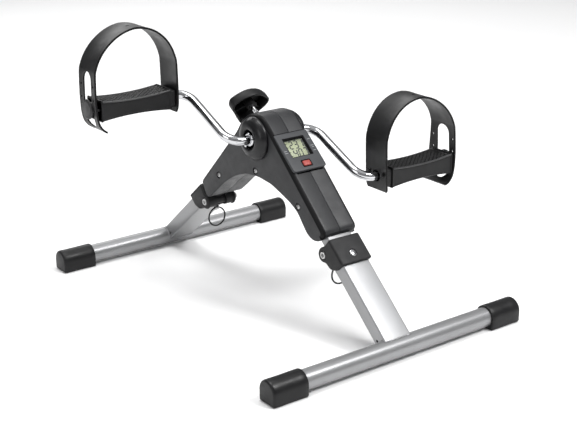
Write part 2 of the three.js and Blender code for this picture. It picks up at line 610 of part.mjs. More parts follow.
// ---- folding legs ----
function makeLeg(side) {
  const l = limb(side);
  const [by, bz] = [l.o.y, l.o.z];
  // leg tube, mitred to the round base tube
  let leg = toManifold(blockL(l, -LEG_W / 2, LEG_W / 2, 0, LEG_TOP, -LEG_T / 2, LEG_T / 2));
  const w = LEG_WALL;
  leg = cut(
    leg,
    blockL(l, -LEG_W / 2 + w, LEG_W / 2 - w, -5, LEG_TOP + 5, -LEG_T / 2 + w, LEG_T / 2 - w),
    rodX(BASE_R + GAP, -60, 60, by, bz, 32),
    rodN(l, 2.8, LOCK_S, -14, -4),
    rodN(l, 3.3, 127, 4, 14),
  );
  part(`${side}_leg_tube`, leg, 'silver', 0.7, 0.4);

  let base = toManifold(rodX(BASE_R, -BASE_HALF, BASE_HALF, by, bz, 32));
  base = cut(base, rodX(BASE_R - 1.5, -BASE_HALF - 5, BASE_HALF + 5, by, bz, 20));
  part(`${side}_base_tube`, base, 'silver', 0.7, 0.4);

  for (const [name, k] of [['left', -1], ['right', 1]]) {
    const [x0, x1] = span(k, CAP_END - CAP_LEN, CAP_END);
    const [i0, i1] = span(k, CAP_END - CAP_LEN - 5, BASE_HALF + GAP);
    const r = CAP_R;
    // arched top, near upright sides, flat sole with rounded corners
    const foot = [[-r, 9], [-CAP_FOOT, 3.2], [-CAP_FOOT + 1, 1], [-CAP_FOOT + 3.2, 0]];
    const arc = ringPoints(by, bz, r, 14, 0, Math.PI);
    const outline = [...arc, [by - r, bz], ...foot.map(([y, z]) => [by + y, z]),
      ...foot.slice().reverse().map(([y, z]) => [by - y, z])];
    let cap = toManifold(prismX(outline, x0, x1, 1.6, 1));
    cap = cut(cap, rodX(BASE_R + GAP, i0, i1, by, bz, 32));
    part(`${side}_base_cap_${name}`, cap, 'rubber', 0, 0.85);
  }

  // bracket: sleeve over the leg's top with ears and a split barrel on the inner side
  const [s0, s1] = BRACKET_S;
  const [n0, n1] = BRACKET_N;
  const B = BRACKET_HALF;
  const [hy, hz] = l.at(PIVOT_S, PIVOT_N);
  const side2 = inLimb(l, [[s0, n1], [s1, n1], [s1, -2], ...ringPoints(PIVOT_S, PIVOT_N, 10.5, 6,
    rad(20), rad(-120)), [134.5, -14.6], [124, n0], [s0 + 1.5, -3]]);
  const fix = ringPoints(PIVOT_S, PIVOT_N, 9, 14);
  let bracket = toManifold(prismX(side2, -B, B, 2.4, 1));
  const inner = LEG_W / 2 + GAP;
  bracket = cut(
    bracket,
    blockL(l, -inner, inner, s0 - 5, s1 + 5, -LEG_T / 2 - GAP, LEG_T / 2 + GAP),
    blockL(l, -inner, inner, PIVOT_S - 10, s1 + 12, -40, 0),
  );
  const barrel = toManifold(prismX(inLimb(l, fix), -inner - 1, inner + 1));
  bracket = bracket.add(barrel);
  bracket = cut(
    bracket,
    blockL(l, -7.9, 7.9, PIVOT_S - 9.6, s1 + 12, -40, 0),
    rodX(3.3, -B + 2, B + 5, hy, hz, 14),
    rodX(5.2, -B - 5, -B + 2.2, hy, hz, 14),
    rodN(l, 2.8, LOCK_S, -30, -4),
    rodN(l, 3.3, 127, 4, 14),
    rodN(l, 5.2, 127, 13.2, 30),
  );
  // the leg tube's back wall stops short of the barrel
  bracket = bracket.subtract(toManifold(blockL(l, -inner, inner, s0 - 5, LEG_TOP + GAP, -LEG_T / 2 - GAP, 5)));
  part(`${side}_bracket`, bracket, 'black', 0, 0.5);

  // hinge bolt with a round socket head on the left, nut on the right
  let bolt = toManifold(rodX(3, -B + 1, B + 1.4, hy, hz, 12));
  bolt = join(bolt, rodX(4.6, -B - 0.4, -B + 1.9, hy, hz, 12));
  bolt = cut(bolt, rodX(2.3, -B - 2, -B + 0.8, hy, hz, 6));
  part(`${side}_hinge_bolt`, bolt, 'steel', 0.8, 0.35);
  let nut = toManifold(rodX(5, B + GAP, B + 4.3, hy, hz, 6));
  nut = cut(nut, rodX(3.3, B - 1, B + 6, hy, hz, 12));
  part(`${side}_hinge_nut`, nut, 'steel', 0.8, 0.35);

  // rivet that holds the bracket on the leg
  let rivet = toManifold(rodN(l, 4.7, 127, 13.5, 15.6));
  rivet = join(rivet, rodN(l, 3, 127, 8, 14, 0, 14));
  part(`${side}_bracket_rivet`, rivet, 'chrome', 0.9, 0.2);

  // lock pin with an eye for the ring
  const eye = -18.2;
  let pin = toManifold(rodN(l, 2.5, LOCK_S, -20.6, PIVOT_N + 3.1, 0, 12));
  pin = join(pin, rodN(l, 3.6, LOCK_S, -21, -15.6, 0, 12));
  const [ey, ez] = l.at(LOCK_S, eye);
  pin = cut(pin, rodX(1.75, -9, 9, ey, ez, 10));
  part(`${side}_lock_pin`, pin, 'steel', 0.8, 0.3);

  const ring = new THREE.TorusGeometry(12.6, 1, 6, 20);
  ring.rotateX(Math.PI / 2);
  ring.translate(0, ey, ez - 12.6);
  part(`${side}_pull_ring`, ring, 'black', 0.5, 0.4);
}

makeHousing();
makeHubCovers();
makeScrews();
makeDisplay();
makeCrank();
makeTension();
for (const [side, k] of [['left', -1], ['right', 1]]) makePedal(side, k);
for (const side of ['front', 'rear']) {
  makeStub(side);
  makeLug(side);
  makeLeg(side);
}

group.name = 'pedal_exerciser';
export default group;
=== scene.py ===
import math
import random

import bmesh
import bpy
from mathutils import Matrix, Vector


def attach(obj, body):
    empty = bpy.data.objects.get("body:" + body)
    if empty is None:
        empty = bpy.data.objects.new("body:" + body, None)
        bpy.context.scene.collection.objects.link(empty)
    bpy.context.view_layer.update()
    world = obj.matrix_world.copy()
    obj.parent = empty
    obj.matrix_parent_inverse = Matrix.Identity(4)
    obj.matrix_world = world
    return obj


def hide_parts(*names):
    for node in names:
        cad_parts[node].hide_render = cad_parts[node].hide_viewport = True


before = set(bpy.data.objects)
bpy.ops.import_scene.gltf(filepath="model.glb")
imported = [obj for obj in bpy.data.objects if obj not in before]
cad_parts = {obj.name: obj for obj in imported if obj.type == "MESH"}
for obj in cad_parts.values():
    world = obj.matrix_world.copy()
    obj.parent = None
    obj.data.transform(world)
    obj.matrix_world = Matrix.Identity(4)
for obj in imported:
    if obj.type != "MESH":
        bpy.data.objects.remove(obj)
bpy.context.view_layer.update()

MM = 0.001
random.seed(7)

# ---- layout, in millimetres, as the frame has it ----
BASE_Y, BASE_Z = 250.6, 14.6
BASE_R, BASE_HALF = 12.5, 190.0
LEG_W, LEG_T, LEG_WALL, LEG_END = 40.0, 20.0, 1.5, 135.0
STUB_W, STUB_T, STUB_WALL, STUB_START = 36.0, 15.0, 1.4, 154.0
STUB_END = {"front": 244.0, "rear": 283.0}
CAP_R, CAP_FOOT = 15.2, 14.6
BRACKET_HALF = 23.6
RIVET_S = 127.0
ANGLE = {"front": 41.6, "rear": 40.0}
HUB = (0.5, 222.0)
CRANK_R, CRANK_ANGLE = 112.0, 25.0
CRANK_X, CRANK_BEND, BAR_R, AXLE_END = 65.8, 22.0, 6.0, 204.5
AXLE_HOLE = 6.15
PIVOT = (144.5, -11.0)
LOCK_S = 131.0
EYE_N = -18.2
RING_R, RING_WIRE = 13.4, 1.1
KNOB_ANGLE = 32.0
SIDES = (("left", -1), ("right", 1))
OUTLINE = [
    (-140.2, 134), (-24.8, 243.5), (-16.7, 250.1), (-6.2, 253.6), (8.3, 253.2), (20.6, 249),
    (30.9, 241.8), (39, 232.7), (47, 221.3), (137.2, 129.5), (118.6, 110.3), (110.8, 115),
    (94, 128.5), (78.1, 142), (63, 152),
    (48.1, 159.9), (25.3, 168.3), (-2.6, 171.1), (-32.1, 168.2), (-60.7, 158.6), (-75, 153), (-86.4, 146.4),
    (-93, 139.5), (-98.8, 132.1), (-105, 125), (-111.3, 120.3), (-121.2, 117.5), (-132.3, 120),
    (-139.3, 127.2),
]
BROAD_EDGE = (28, 0, 1, 2, 3, 4, 5, 6, 7, 8, 9)  # corners of the outline with the wide rounded edge
BROAD_R, NARROW_R = 5.8, 1.5
HALF = 27.0  # half the width of the housing
SHELL_WALL = 2.6
CORNER_R, CORNER_STEPS = 7.0, 4
SCREWS = [(89.4, 150.4), (2.7, 177.6), (-88.9, 153.6)]


# ---- places ----
def limb(side):
    k = -1 if side == "front" else 1
    a = math.radians(ANGLE[side])
    u = (-k * math.cos(a), math.sin(a))
    n = (k * math.sin(a), math.cos(a))
    return lambda x, s, d: (x, k * BASE_Y + u[0] * s + n[0] * d, BASE_Z + u[1] * s + n[1] * d)


P0, P1 = (-79.9, 195.9), (-35.3, 233.4)
DL = math.hypot(P1[0] - P0[0], P1[1] - P0[1])
DU = ((P1[0] - P0[0]) / DL, (P1[1] - P0[1]) / DL)


def on_bezel(d, x, s):
    """x across, s up the display's face from its lower edge, d out of the face"""
    return (x, P0[0] + DU[0] * s - DU[1] * d, P0[1] + DU[1] * s + DU[0] * d)


KN = (math.cos(math.radians(KNOB_ANGLE)), math.sin(math.radians(KNOB_ANGLE)))


def along_knob(d, x, m):
    """d out from the crank axis along the knob's rod, x across, m upwards"""
    return (x, HUB[0] + KN[0] * d - KN[1] * m, HUB[1] + KN[1] * d + KN[0] * m)


def pedal_axis(k):
    a = math.radians(CRANK_ANGLE)
    return HUB[0] - k * CRANK_R * math.cos(a), HUB[1] - k * CRANK_R * math.sin(a)


def ped(k):
    py, pz = pedal_axis(k)
    return lambda x, y, z: (k * x, py + y, pz + z)


def about_x(y, z):
    return lambda a, u, v: (a, y + u, z + v)


def about_axle(at, y=0.0, z=0.0):
    return lambda a, u, v: at(a, y + u, z + v)


def along_limb(at):
    return lambda s, x, n: at(x, s, n)


def out_of_limb(at, s):
    return lambda n, u, v: at(u, s + v, n)


def upwards(at):
    return lambda z, x, y: at(x, y, z)


# ---- outlines ----
def ring(cx, cy, r, n, a0=0.0, a1=360.0, full=True):
    m = n if full else n - 1
    return [(cx + r * math.cos(math.radians(a0 + (a1 - a0) * i / m)),
             cy + r * math.sin(math.radians(a0 + (a1 - a0) * i / m))) for i in range(n)]


def fillet(points, r, n=4):
    out = []
    count = len(points)
    for i, p in enumerate(points):
        a, b, c = Vector(points[i - 1]), Vector(p), Vector(points[(i + 1) % count])
        rr = r[i] if isinstance(r, (list, tuple)) else r
        t1 = min(rr, 0.45 * (a - b).length)
        t2 = min(rr, 0.45 * (c - b).length)
        if rr <= 0:
            out.append(tuple(b))
            continue
        p1 = b + (a - b).normalized() * t1
        p2 = b + (c - b).normalized() * t2
        for j in range(n + 1):
            t = j / n
            q = p1 * (1 - t) ** 2 + b * 2 * t * (1 - t) + p2 * t * t
            out.append(tuple(q))
    return out


def inset(points, d):
    nexts = points[1:] + points[:1]
    area = sum(p[0] * q[1] - q[0] * p[1] for p, q in zip(points, nexts))
    sign = 1 if area > 0 else -1
    out = []
    for i, (x, y) in enumerate(points):
        a = (Vector((x, y)) - Vector(points[i - 1])).normalized()
        b = (Vector(nexts[i]) - Vector((x, y))).normalized()
        na, nb = Vector((-a.y, a.x)) * sign, Vector((-b.y, b.x)) * sign
        m = (na + nb).normalized()
        k = (d[i] if isinstance(d, list) else d) / max(0.5, m.dot(na))
        out.append((x + m.x * k, y + m.y * k))
    return out


def rect(x0, x1, y0, y1, r=0.0, n=4):
    pts = [(x0, y0), (x1, y0), (x1, y1), (x0, y1)]
    return fillet(pts, r, n) if r else pts


# ---- meshes ----
def mesh_object(name, verts, faces):
    me = bpy.data.meshes.new(name)
    me.from_pydata([tuple(c * MM for c in v) for v in verts], [], faces)
    bm = bmesh.new()
    bm.from_mesh(me)
    bmesh.ops.remove_doubles(bm, verts=bm.verts, dist=2e-6)
    bmesh.ops.recalc_face_normals(bm, faces=bm.faces)
    bm.to_mesh(me)
    bm.free()
    ob = bpy.data.objects.new(name, me)
    bpy.context.scene.collection.objects.link(ob)
    return ob


def loft(name, rings, caps=True, closed=False):
    n = len(rings[0])
    verts = [p for r in rings for p in r]
    faces = []
    last = len(rings) if closed else len(rings) - 1
    for i in range(last):
        a0, b0 = i * n, ((i + 1) % len(rings)) * n
        for j in range(n):
            k = (j + 1) % n
            faces.append((a0 + j, a0 + k, b0 + k, b0 + j))
    if caps and not closed:
        faces.append(tuple(range(n)))
        faces.append(tuple((len(rings) - 1) * n + j for j in range(n)))
    return mesh_object(name, verts, faces)


def prism(name, outline, lo, hi, place, r=0.0, steps=4, r_hi=None):
    """outline (a, b) pushed from lo to hi; place(t, a, b) gives the point. Ends are rounded by r."""
    r_hi = r if r_hi is None else r_hi
    rings = []
    for end, rad, sgn in ((lo, r, 1), (hi, r_hi, -1)):
        part = []
        if rad <= 0:
            part.append([place(end, a, b) for a, b in outline])
        else:
            for i in range(steps + 1):
                t = math.radians(90 * i / steps)
                ins = inset(outline, rad * (1 - math.sin(t)))
                pos = end + sgn * rad * (1 - math.cos(t))
                part.append([place(pos, a, b) for a, b in ins])
        rings += part if sgn > 0 else part[::-1]
    return loft(name, rings)


def lathe(name, profile, place, n=48):
    """profile rows are (along, radius); place(along, u, v). The profile is a closed loop."""
    rings = []
    for i in range(n):
        t = 2 * math.pi * i / n
        rings.append([place(a, r * math.cos(t), r * math.sin(t)) for a, r in profile])
    return loft(name, rings, caps=False, closed=True)


def rod(name, r, lo, hi, place, n=32, edge=0.0):
    if edge:
        prof = [(lo, 0.0), (lo, r - edge), (lo + edge * 0.3, r - edge * 0.3), (lo + edge, r),
                (hi - edge, r), (hi - edge * 0.3, r - edge * 0.3), (hi, r - edge), (hi, 0.0)]
    else:
        prof = [(lo, 0.0), (lo, r), (hi, r), (hi, 0.0)]
    return lathe(name, prof, place, n)


def sweep(name, path, radius, n=24, closed=False, lump=None):
    """round bar through a list of points (mm)"""
    pts = [Vector(p) for p in path]
    count = len(pts)
    rings = []
    side = None
    for i, p in enumerate(pts):
        if closed:
            t = (pts[(i + 1) % count] - pts[i - 1]).normalized()
        else:
            t = (pts[min(i + 1, count - 1)] - pts[max(i - 1, 0)]).normalized()
        if side is None:
            side = Vector((0, 0, 1)) if abs(t.z) < 0.9 else Vector((0, 1, 0))
        side = (side - t * side.dot(t)).normalized()
        up = t.cross(side)
        r = radius * (lump(i) if lump else 1)
        turns = [2 * math.pi * j / n for j in range(n)]
        rings.append([tuple(p + side * r * math.cos(a) + up * r * math.sin(a)) for a in turns])
    return loft(name, rings, caps=not closed, closed=closed)


def apply_all(ob):
    dg = bpy.context.evaluated_depsgraph_get()
    me = bpy.data.meshes.new_from_object(ob.evaluated_get(dg))
    ob.modifiers.clear()
    ob.data = me
    return ob


def boolean(ob, others, mode="DIFFERENCE", self_cross=False):
    for o in others:
        m = ob.modifiers.new("b", "BOOLEAN")
        m.operation = mode
        m.solver = "EXACT"
        m.object = o
        m.use_self = self_cross
    bpy.context.view_layer.update()
    apply_all(ob)
    for o in others:
        bpy.data.objects.remove(o)
    return ob


def merge(name, objects):
    """several meshes as the loose parts of one piece"""
    bm = bmesh.new()
    for o in objects:
        bm.from_mesh(o.data)
        bpy.data.objects.remove(o)
    me = bpy.data.meshes.new(name)
    bm.to_mesh(me)
    bm.free()
    ob = bpy.data.objects.new(name, me)
    bpy.context.scene.collection.objects.link(ob)
    return ob


def piece(ob, body, mat, nodes=(), bevel=0.0, segs=2, angle=32.0):
    me = ob.data
    for p in me.polygons:
        p.use_smooth = True
    me.materials.clear()
    me.materials.append(mat)
    if bevel:
        m = ob.modifiers.new("edge", "BEVEL")
        m.width = bevel * MM
        m.segments = segs
        m.limit_method = "ANGLE"
        m.angle_limit = math.radians(angle)
        m.use_clamp_overlap = True
        m.harden_normals = True
    else:
        me.set_sharp_from_angle(angle=math.radians(angle))
    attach(ob, body)
    if nodes:
        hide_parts(*nodes)
    return ob


# ---- materials ----
class Nodes:
    def __init__(self, name):
        self.mat = bpy.data.materials.new(name)
        self.mat.use_nodes = True
        self.tree = self.mat.node_tree
        self.bsdf = self.tree.nodes["Principled BSDF"]
        self.coord = self.add("ShaderNodeTexCoord")

    def add(self, kind, **values):
        node = self.tree.nodes.new(kind)
        for key, value in values.items():
            if key in node.inputs:
                node.inputs[key].default_value = value
            else:
                setattr(node, key, value)
        return node

    def link(self, a, b):
        self.tree.links.new(a, b)

    def noise(self, scale, detail=3.0, rough=0.55):
        node = self.add("ShaderNodeTexNoise", Scale=scale, Detail=detail, Roughness=rough)
        self.link(self.coord.outputs["Object"], node.inputs["Vector"])
        return node.outputs["Fac"]

    def ramp(self, fac, stops):
        node = self.add("ShaderNodeValToRGB")
        els = node.color_ramp.elements
        while len(els) > 2:
            els.remove(els[-1])
        for i, (pos, col) in enumerate(stops):
            e = els[i] if i < 2 else els.new(pos)
            e.position = pos
            e.color = (*col, 1.0)
        self.link(fac, node.inputs["Fac"])
        return node.outputs["Color"]

    def span(self, fac, lo, hi, a=0.3, b=0.7):
        node = self.add("ShaderNodeMapRange")
        node.inputs["From Min"].default_value = a
        node.inputs["From Max"].default_value = b
        node.inputs["To Min"].default_value = lo
        node.inputs["To Max"].default_value = hi
        self.link(fac, node.inputs["Value"])
        return node.outputs["Result"]

    def bump(self, height, strength, distance, before=None):
        node = self.add("ShaderNodeBump", Strength=strength, Distance=distance)
        self.link(height, node.inputs["Height"])
        if before is not None:
            self.link(before, node.inputs["Normal"])
        self.link(node.outputs["Normal"], self.bsdf.inputs["Normal"])
        return node.outputs["Normal"]


def tone(c, k):
    return tuple(min(1.0, v * k) for v in c)


def surface(name, colour, rough, metal=0.0, tint=0.08, tint_scale=25.0, rough_var=0.06, rough_scale=70.0,
            bumps=(), spec=0.5, coat=0.0, coat_rough=0.1, sheen=0.0):
    """moulded, painted or plated surface with uneven colour, uneven gloss and layered relief"""
    g = Nodes(name)
    broad = g.noise(tint_scale, 4.0, 0.6)
    col = g.ramp(broad, [(0.25, tone(colour, 1 - tint)), (0.75, tone(colour, 1 + tint))])
    g.link(col, g.bsdf.inputs["Base Color"])
    g.bsdf.inputs["Metallic"].default_value = metal
    g.bsdf.inputs["Specular IOR Level"].default_value = spec
    gloss = g.noise(rough_scale, 5.0, 0.6)
    uneven = g.span(gloss, max(0.02, rough - rough_var), min(1.0, rough + rough_var))
    g.link(uneven, g.bsdf.inputs["Roughness"])
    if coat:
        g.bsdf.inputs["Coat Weight"].default_value = coat
        g.bsdf.inputs["Coat Roughness"].default_value = coat_rough
    if sheen:
        g.bsdf.inputs["Sheen Weight"].default_value = sheen
    normal = None
    for scale, strength, dist in bumps:
        normal = g.bump(g.noise(scale, 2.0, 0.5), strength, dist, normal)
    return g.mat


MAT = {
    "shell": surface("shell_textured", (0.02, 0.0205, 0.0225), 0.44, tint=0.12, rough_var=0.07,
                     spec=0.36, bumps=((2600, 0.35, 0.00022), (140, 0.12, 0.0004))),
    # darker colour for the shell's rounded edges and the strap's edges: painted shade
    "edge": surface("edge_painted_shade", (0.0045, 0.0045, 0.005), 0.42, tint=0.12, rough_var=0.06,
                    spec=0.16, bumps=((900, 0.1, 0.0002),)),
    "gloss": surface("hub_gloss", (0.006, 0.006, 0.007), 0.34, rough_var=0.06, spec=0.3, coat=0.1,
                     coat_rough=0.2, bumps=((160, 0.08, 0.0003),)),
    "bezel": surface("bezel_satin", (0.05, 0.052, 0.056), 0.45, spec=0.3,
                     bumps=((2200, 0.25, 0.00018),)),
    # near-black for the walls and floors of recesses: painted shade
    "recess_shade": surface("recess_painted_shade", (0.003, 0.003, 0.0035), 0.7, spec=0.08,
                     bumps=((900, 0.2, 0.0002),)),
    "red": surface("button_red", (0.36, 0.05, 0.04), 0.42, tint=0.12, tint_scale=160,
                   bumps=((1800, 0.2, 0.00015),)),
    "lcd": surface("lcd_face", (0.32, 0.355, 0.205), 0.4, tint=0.05, tint_scale=90, spec=0.3,
                   bumps=((3000, 0.1, 0.0001),)),
    "ink": surface("lcd_ink", (0.006, 0.008, 0.006), 0.6, tint=0.15, tint_scale=200, spec=0.1),
    "print": surface("print_grey", (0.25, 0.26, 0.27), 0.55, tint=0.1, tint_scale=300),
    "chrome": surface("chrome_plate", (0.6, 0.605, 0.62), 0.07, 1.0, tint=0.03, tint_scale=18,
                      rough_var=0.03, rough_scale=45, bumps=((55, 0.05, 0.0006),)),
    "steel": surface("zinc_steel", (0.52, 0.52, 0.52), 0.3, 1.0, tint=0.1, tint_scale=120,
                     rough_var=0.1, rough_scale=240, bumps=((700, 0.2, 0.0002),)),
    "tube": surface("silver_coat", (0.31, 0.312, 0.318), 0.36, 0.65, tint=0.05, tint_scale=14,
                    rough_var=0.06, rough_scale=900,
                    bumps=((3200, 0.22, 0.00016), (260, 0.1, 0.0003))),
    "weld": surface("weld_silver", (0.34, 0.343, 0.35), 0.42, 0.8, tint=0.25, tint_scale=220,
                    rough_var=0.12, rough_scale=500, bumps=((520, 0.7, 0.0009),)),
    "rubber": surface("cap_rubber", (0.0065, 0.0065, 0.007), 0.42, tint=0.2, tint_scale=40,
                      rough_var=0.1, rough_scale=60, spec=0.3,
                      bumps=((70, 0.35, 0.0011), (1500, 0.25, 0.0002))),
    "plastic": surface("satin_black", (0.009, 0.009, 0.0095), 0.44, tint=0.15, rough_var=0.08,
                       spec=0.28, bumps=((1900, 0.25, 0.0002), (90, 0.15, 0.0005))),
    "disc": surface("cap_disc", (0.034, 0.034, 0.035), 0.4, tint=0.1, rough_var=0.08, spec=0.35,
                    bumps=((1500, 0.2, 0.0002),)),
    # lighter colour for the tread's edge lip: painted highlight
    "lip": surface("tread_lip_painted_highlight", (0.045, 0.045, 0.046), 0.36, tint=0.15, rough_var=0.08, spec=0.45,
                   bumps=((1500, 0.2, 0.0002),)),
    "bracket": surface("bracket_textured", (0.012, 0.012, 0.013), 0.5, tint=0.12, rough_var=0.08,
                       spec=0.3, bumps=((1700, 0.45, 0.0003), (110, 0.15, 0.0004))),
    "strap": surface("strap_rubber", (0.0075, 0.0075, 0.008), 0.42, tint=0.18, tint_scale=30,
                     rough_var=0.09, rough_scale=38, spec=0.45,
                     bumps=((38, 0.2, 0.001), (1300, 0.2, 0.0002))),
    "knob": surface("knob_satin", (0.0075, 0.0075, 0.008), 0.48, rough_var=0.08, spec=0.28,
                    bumps=((1700, 0.3, 0.0002), (120, 0.12, 0.0004))),
    "wire": surface("ring_black", (0.008, 0.008, 0.0085), 0.4, 0.0, tint=0.2, tint_scale=150,
                    spec=0.3, bumps=((800, 0.2, 0.0002),)),
    "acetal": surface("bush_acetal", (0.78, 0.77, 0.74), 0.4, bumps=((900, 0.15, 0.0002),)),
    "board": surface("board_green", (0.03, 0.16, 0.06), 0.4, tint=0.3, tint_scale=300,
                     bumps=((700, 0.3, 0.0003),)),
    "felt": surface("felt_pad", (0.24, 0.19, 0.14), 0.95, tint=0.3, tint_scale=500,
                    bumps=((1500, 0.8, 0.0008),), sheen=0.4),
    "sensor": surface("sensor_sleeve", (0.72, 0.75, 0.73), 0.3, bumps=((500, 0.1, 0.0002),)),
}


def glass_material():
    g = Nodes("window_clear")
    tint = g.ramp(g.noise(60), [(0.3, (0.8, 0.84, 0.8)), (0.7, (0.9, 0.93, 0.9))])
    g.link(tint, g.bsdf.inputs["Base Color"])
    g.link(g.span(g.noise(150), 0.06, 0.14), g.bsdf.inputs["Roughness"])
    g.bsdf.inputs["Alpha"].default_value = 0.05
    return g.mat


MAT["glass"] = glass_material()


def paint(node, key):
    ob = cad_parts[node]
    ob.data.materials.clear()
    ob.data.materials.append(MAT[key])


# ---- housing ----
def edge_distance(y, z, corners):
    """distance in the side view from the outline's stretch through these corners"""
    best = 1e9
    for a, b in zip(corners, corners[1:]):
        p, q = Vector(OUTLINE[a]), Vector(OUTLINE[b])
        t = max(0.0, min(1.0, (Vector((y, z)) - p).dot(q - p) / (q - p).length_squared))
        best = min(best, (p + (q - p) * t - Vector((y, z))).length)
    return best


def make_housing():
    outline = fillet(OUTLINE, CORNER_R, CORNER_STEPS)
    per_corner = CORNER_STEPS + 1
    radius = [BROAD_R if i // per_corner in BROAD_EDGE else NARROW_R for i in range(len(outline))]
    # distance from the seam plane and inset: inner wall first, then the seam's lip
    inner_x = 23.4
    seam = [(inner_x, SHELL_WALL), (0.15, SHELL_WALL), (0.15, 0.55), (0.35, 0.12), (0.8, 0.0), (19.0, 0.0)]
    for side, k in SIDES:
        rings = []
        for x, d in seam:
            rings.append([(k * x, y, z) for y, z in inset(outline, d)])
        for i in range(9):
            t = math.radians(90 * i / 8)
            flat = inset(outline, [r * (1 - math.cos(t)) for r in radius])
            rings.append([(k * (HALF - r * (1 - math.sin(t))), y, z) for (y, z), r in zip(flat, radius)])
        shell = loft(f"housing_{side}_shell", rings)
        cutters = [
            rod("c", 10.3, -30, 30, about_x(*HUB), 40),
            prism("c", rect(-24.9, 40, -0.4, 58.4, 2.6), -3.6, 8, on_bezel),
            prism("c", rect(-21.6, 21.6, 3.6, 55.4), -14, 6, on_bezel),
            prism("c", rect(-19.5, 21.0, -2.0, 0.4), -6.5, 6, on_bezel),
            rod("c", 3.7, 20, 50, along_knob, 24),
        ]
        for s in ("front", "rear"):
            cutters.append(prism("c", rect(-18.5, 18.5, -8, 8, 1.5), 148, 190, along_limb(limb(s))))
        if side == "left":
            cutters += [rod("c", 4.9, -HALF - 3, -HALF + 2, about_x(y, z), 28) for y, z in SCREWS]
        boolean(shell, cutters, self_cross=True)
        piece(shell, "housing", MAT["shell"], [f"housing_{side}"], bevel=0.4, angle=38)
        # the wide rounded edge is smooth; its darker colour is painted shade for the dark reflection along the
        # radius
        shell.data.materials.append(MAT["edge"])
        for face in shell.data.polygons:
            c = face.center / MM
            rounded = 0.14 < abs(face.normal.x) < 0.975 and abs(c.x) > 20.5
            if rounded and edge_distance(c.y, c.z, BROAD_EDGE) < 6.4:
                face.material_index = 1


def make_hubs():
    for side, k in SIDES:
        x0 = HALF + 0.3
        prof = fillet([(x0, 28.4), (x0 + 2.7, 28.4), (x0 + 7.9, 25.0), (x0 + 10.5, 20.6), (x0 + 11.5, 16.0),
                       (x0 + 10.7, 12.9), (x0 + 3.7, 11.8), (x0, 11.6)],
                      [0.3, 1.2, 3.0, 3.0, 1.6, 1.2, 0.8, 0.2], 4)
        ob = lathe(f"hub_cover_{side}_dome", [(k * a, r) for a, r in prof], about_x(*HUB), 72)
        piece(ob, "housing", MAT["gloss"], [f"hub_cover_{side}"], angle=40)
        # floor of the recess round the crank, painted near-black: painted shade
        prof = [(26.6, 6.3), (27.8, 6.3), (27.8, 11.3), (26.6, 11.3)]
        ob = lathe(f"hub_recess_{side}", [(k * a, r) for a, r in prof], about_x(*HUB), 40)
        piece(ob, "housing", MAT["recess_shade"], bevel=0.15)


def make_screws():
    for i, (y, z) in enumerate(SCREWS):
        x0 = -HALF - 0.2
        prof = [(x0, 0.0), (x0, 1.8), (x0 + 0.3, 2.7), (x0 + 0.9, 3.2), (x0 + 1.9, 3.2), (x0 + 1.9, 1.9),
                (-8, 1.9), (-8, 0.0)]
        ob = lathe(f"housing_screw_{i + 1}_head", prof, about_x(y, z), 28)
        turn = 0.35 + 0.5 * i
        for a in (turn, turn + math.pi / 2):
            c, s = math.cos(a), math.sin(a)
            bar = prism("c", rect(-2.2, 2.2, -0.5, 0.5), x0 - 1.3, x0 + 1.2,
                        lambda t, u, v, c=c, s=s: (t, y + u * c - v * s, z + u * s + v * c))
            boolean(ob, [bar])
        piece(ob, "housing", MAT["steel"], [f"housing_screw_{i + 1}"], bevel=0.12, angle=45)


# ---- display ----
WINDOW = (-16.0, 17.4, 20.2, 50.2)
BUTTON = (-5.6, 5.6, 6.0, 13.2)
PLATE_TOP = -4.85  # depth of the display's face below the bezel
INK = (PLATE_TOP - 0.01, PLATE_TOP + 0.15)
SEGMENTS = {"0": "abcdef", "1": "bc", "2": "abged", "3": "abgcd", "4": "fgbc", "7": "abc"}


def digit(char, x, s, w, h):
    """one slanted seven-segment figure as thin raised bars"""
    t = 0.15 * h
    bars = {
        "a": (0, h / 2, w), "g": (0, 0, w), "d": (0, -h / 2, w),
        "f": (-w / 2, h / 4, h / 2), "b": (w / 2, h / 4, h / 2),
        "e": (-w / 2, -h / 4, h / 2), "c": (w / 2, -h / 4, h / 2),
    }
    out = []
    for key in SEGMENTS[char]:
        cx, cy, length = bars[key]
        half = length / 2 - 0.62 * t
        e = t / 2
        if key in "agd":
            pts = [(-half - e, 0), (-half, -e), (half, -e), (half + e, 0), (half, e), (-half, e)]
        else:
            pts = [(0, -half - e), (e, -half), (e, half), (0, half + e), (-e, half), (-e, -half)]
        pts = [(x + cx + u + 0.12 * (cy + v), s + cy + v) for u, v in pts]
        out.append(prism("d", pts, *INK, on_bezel))
    return out


def frame_rect(box, left, right, low, high, r, n=4):
    """rectangle round a box, each side moved outwards by its own amount"""
    x0, x1, s0, s1 = box
    return rect(x0 - left, x1 + right, s0 - low, s1 + high, r, n)


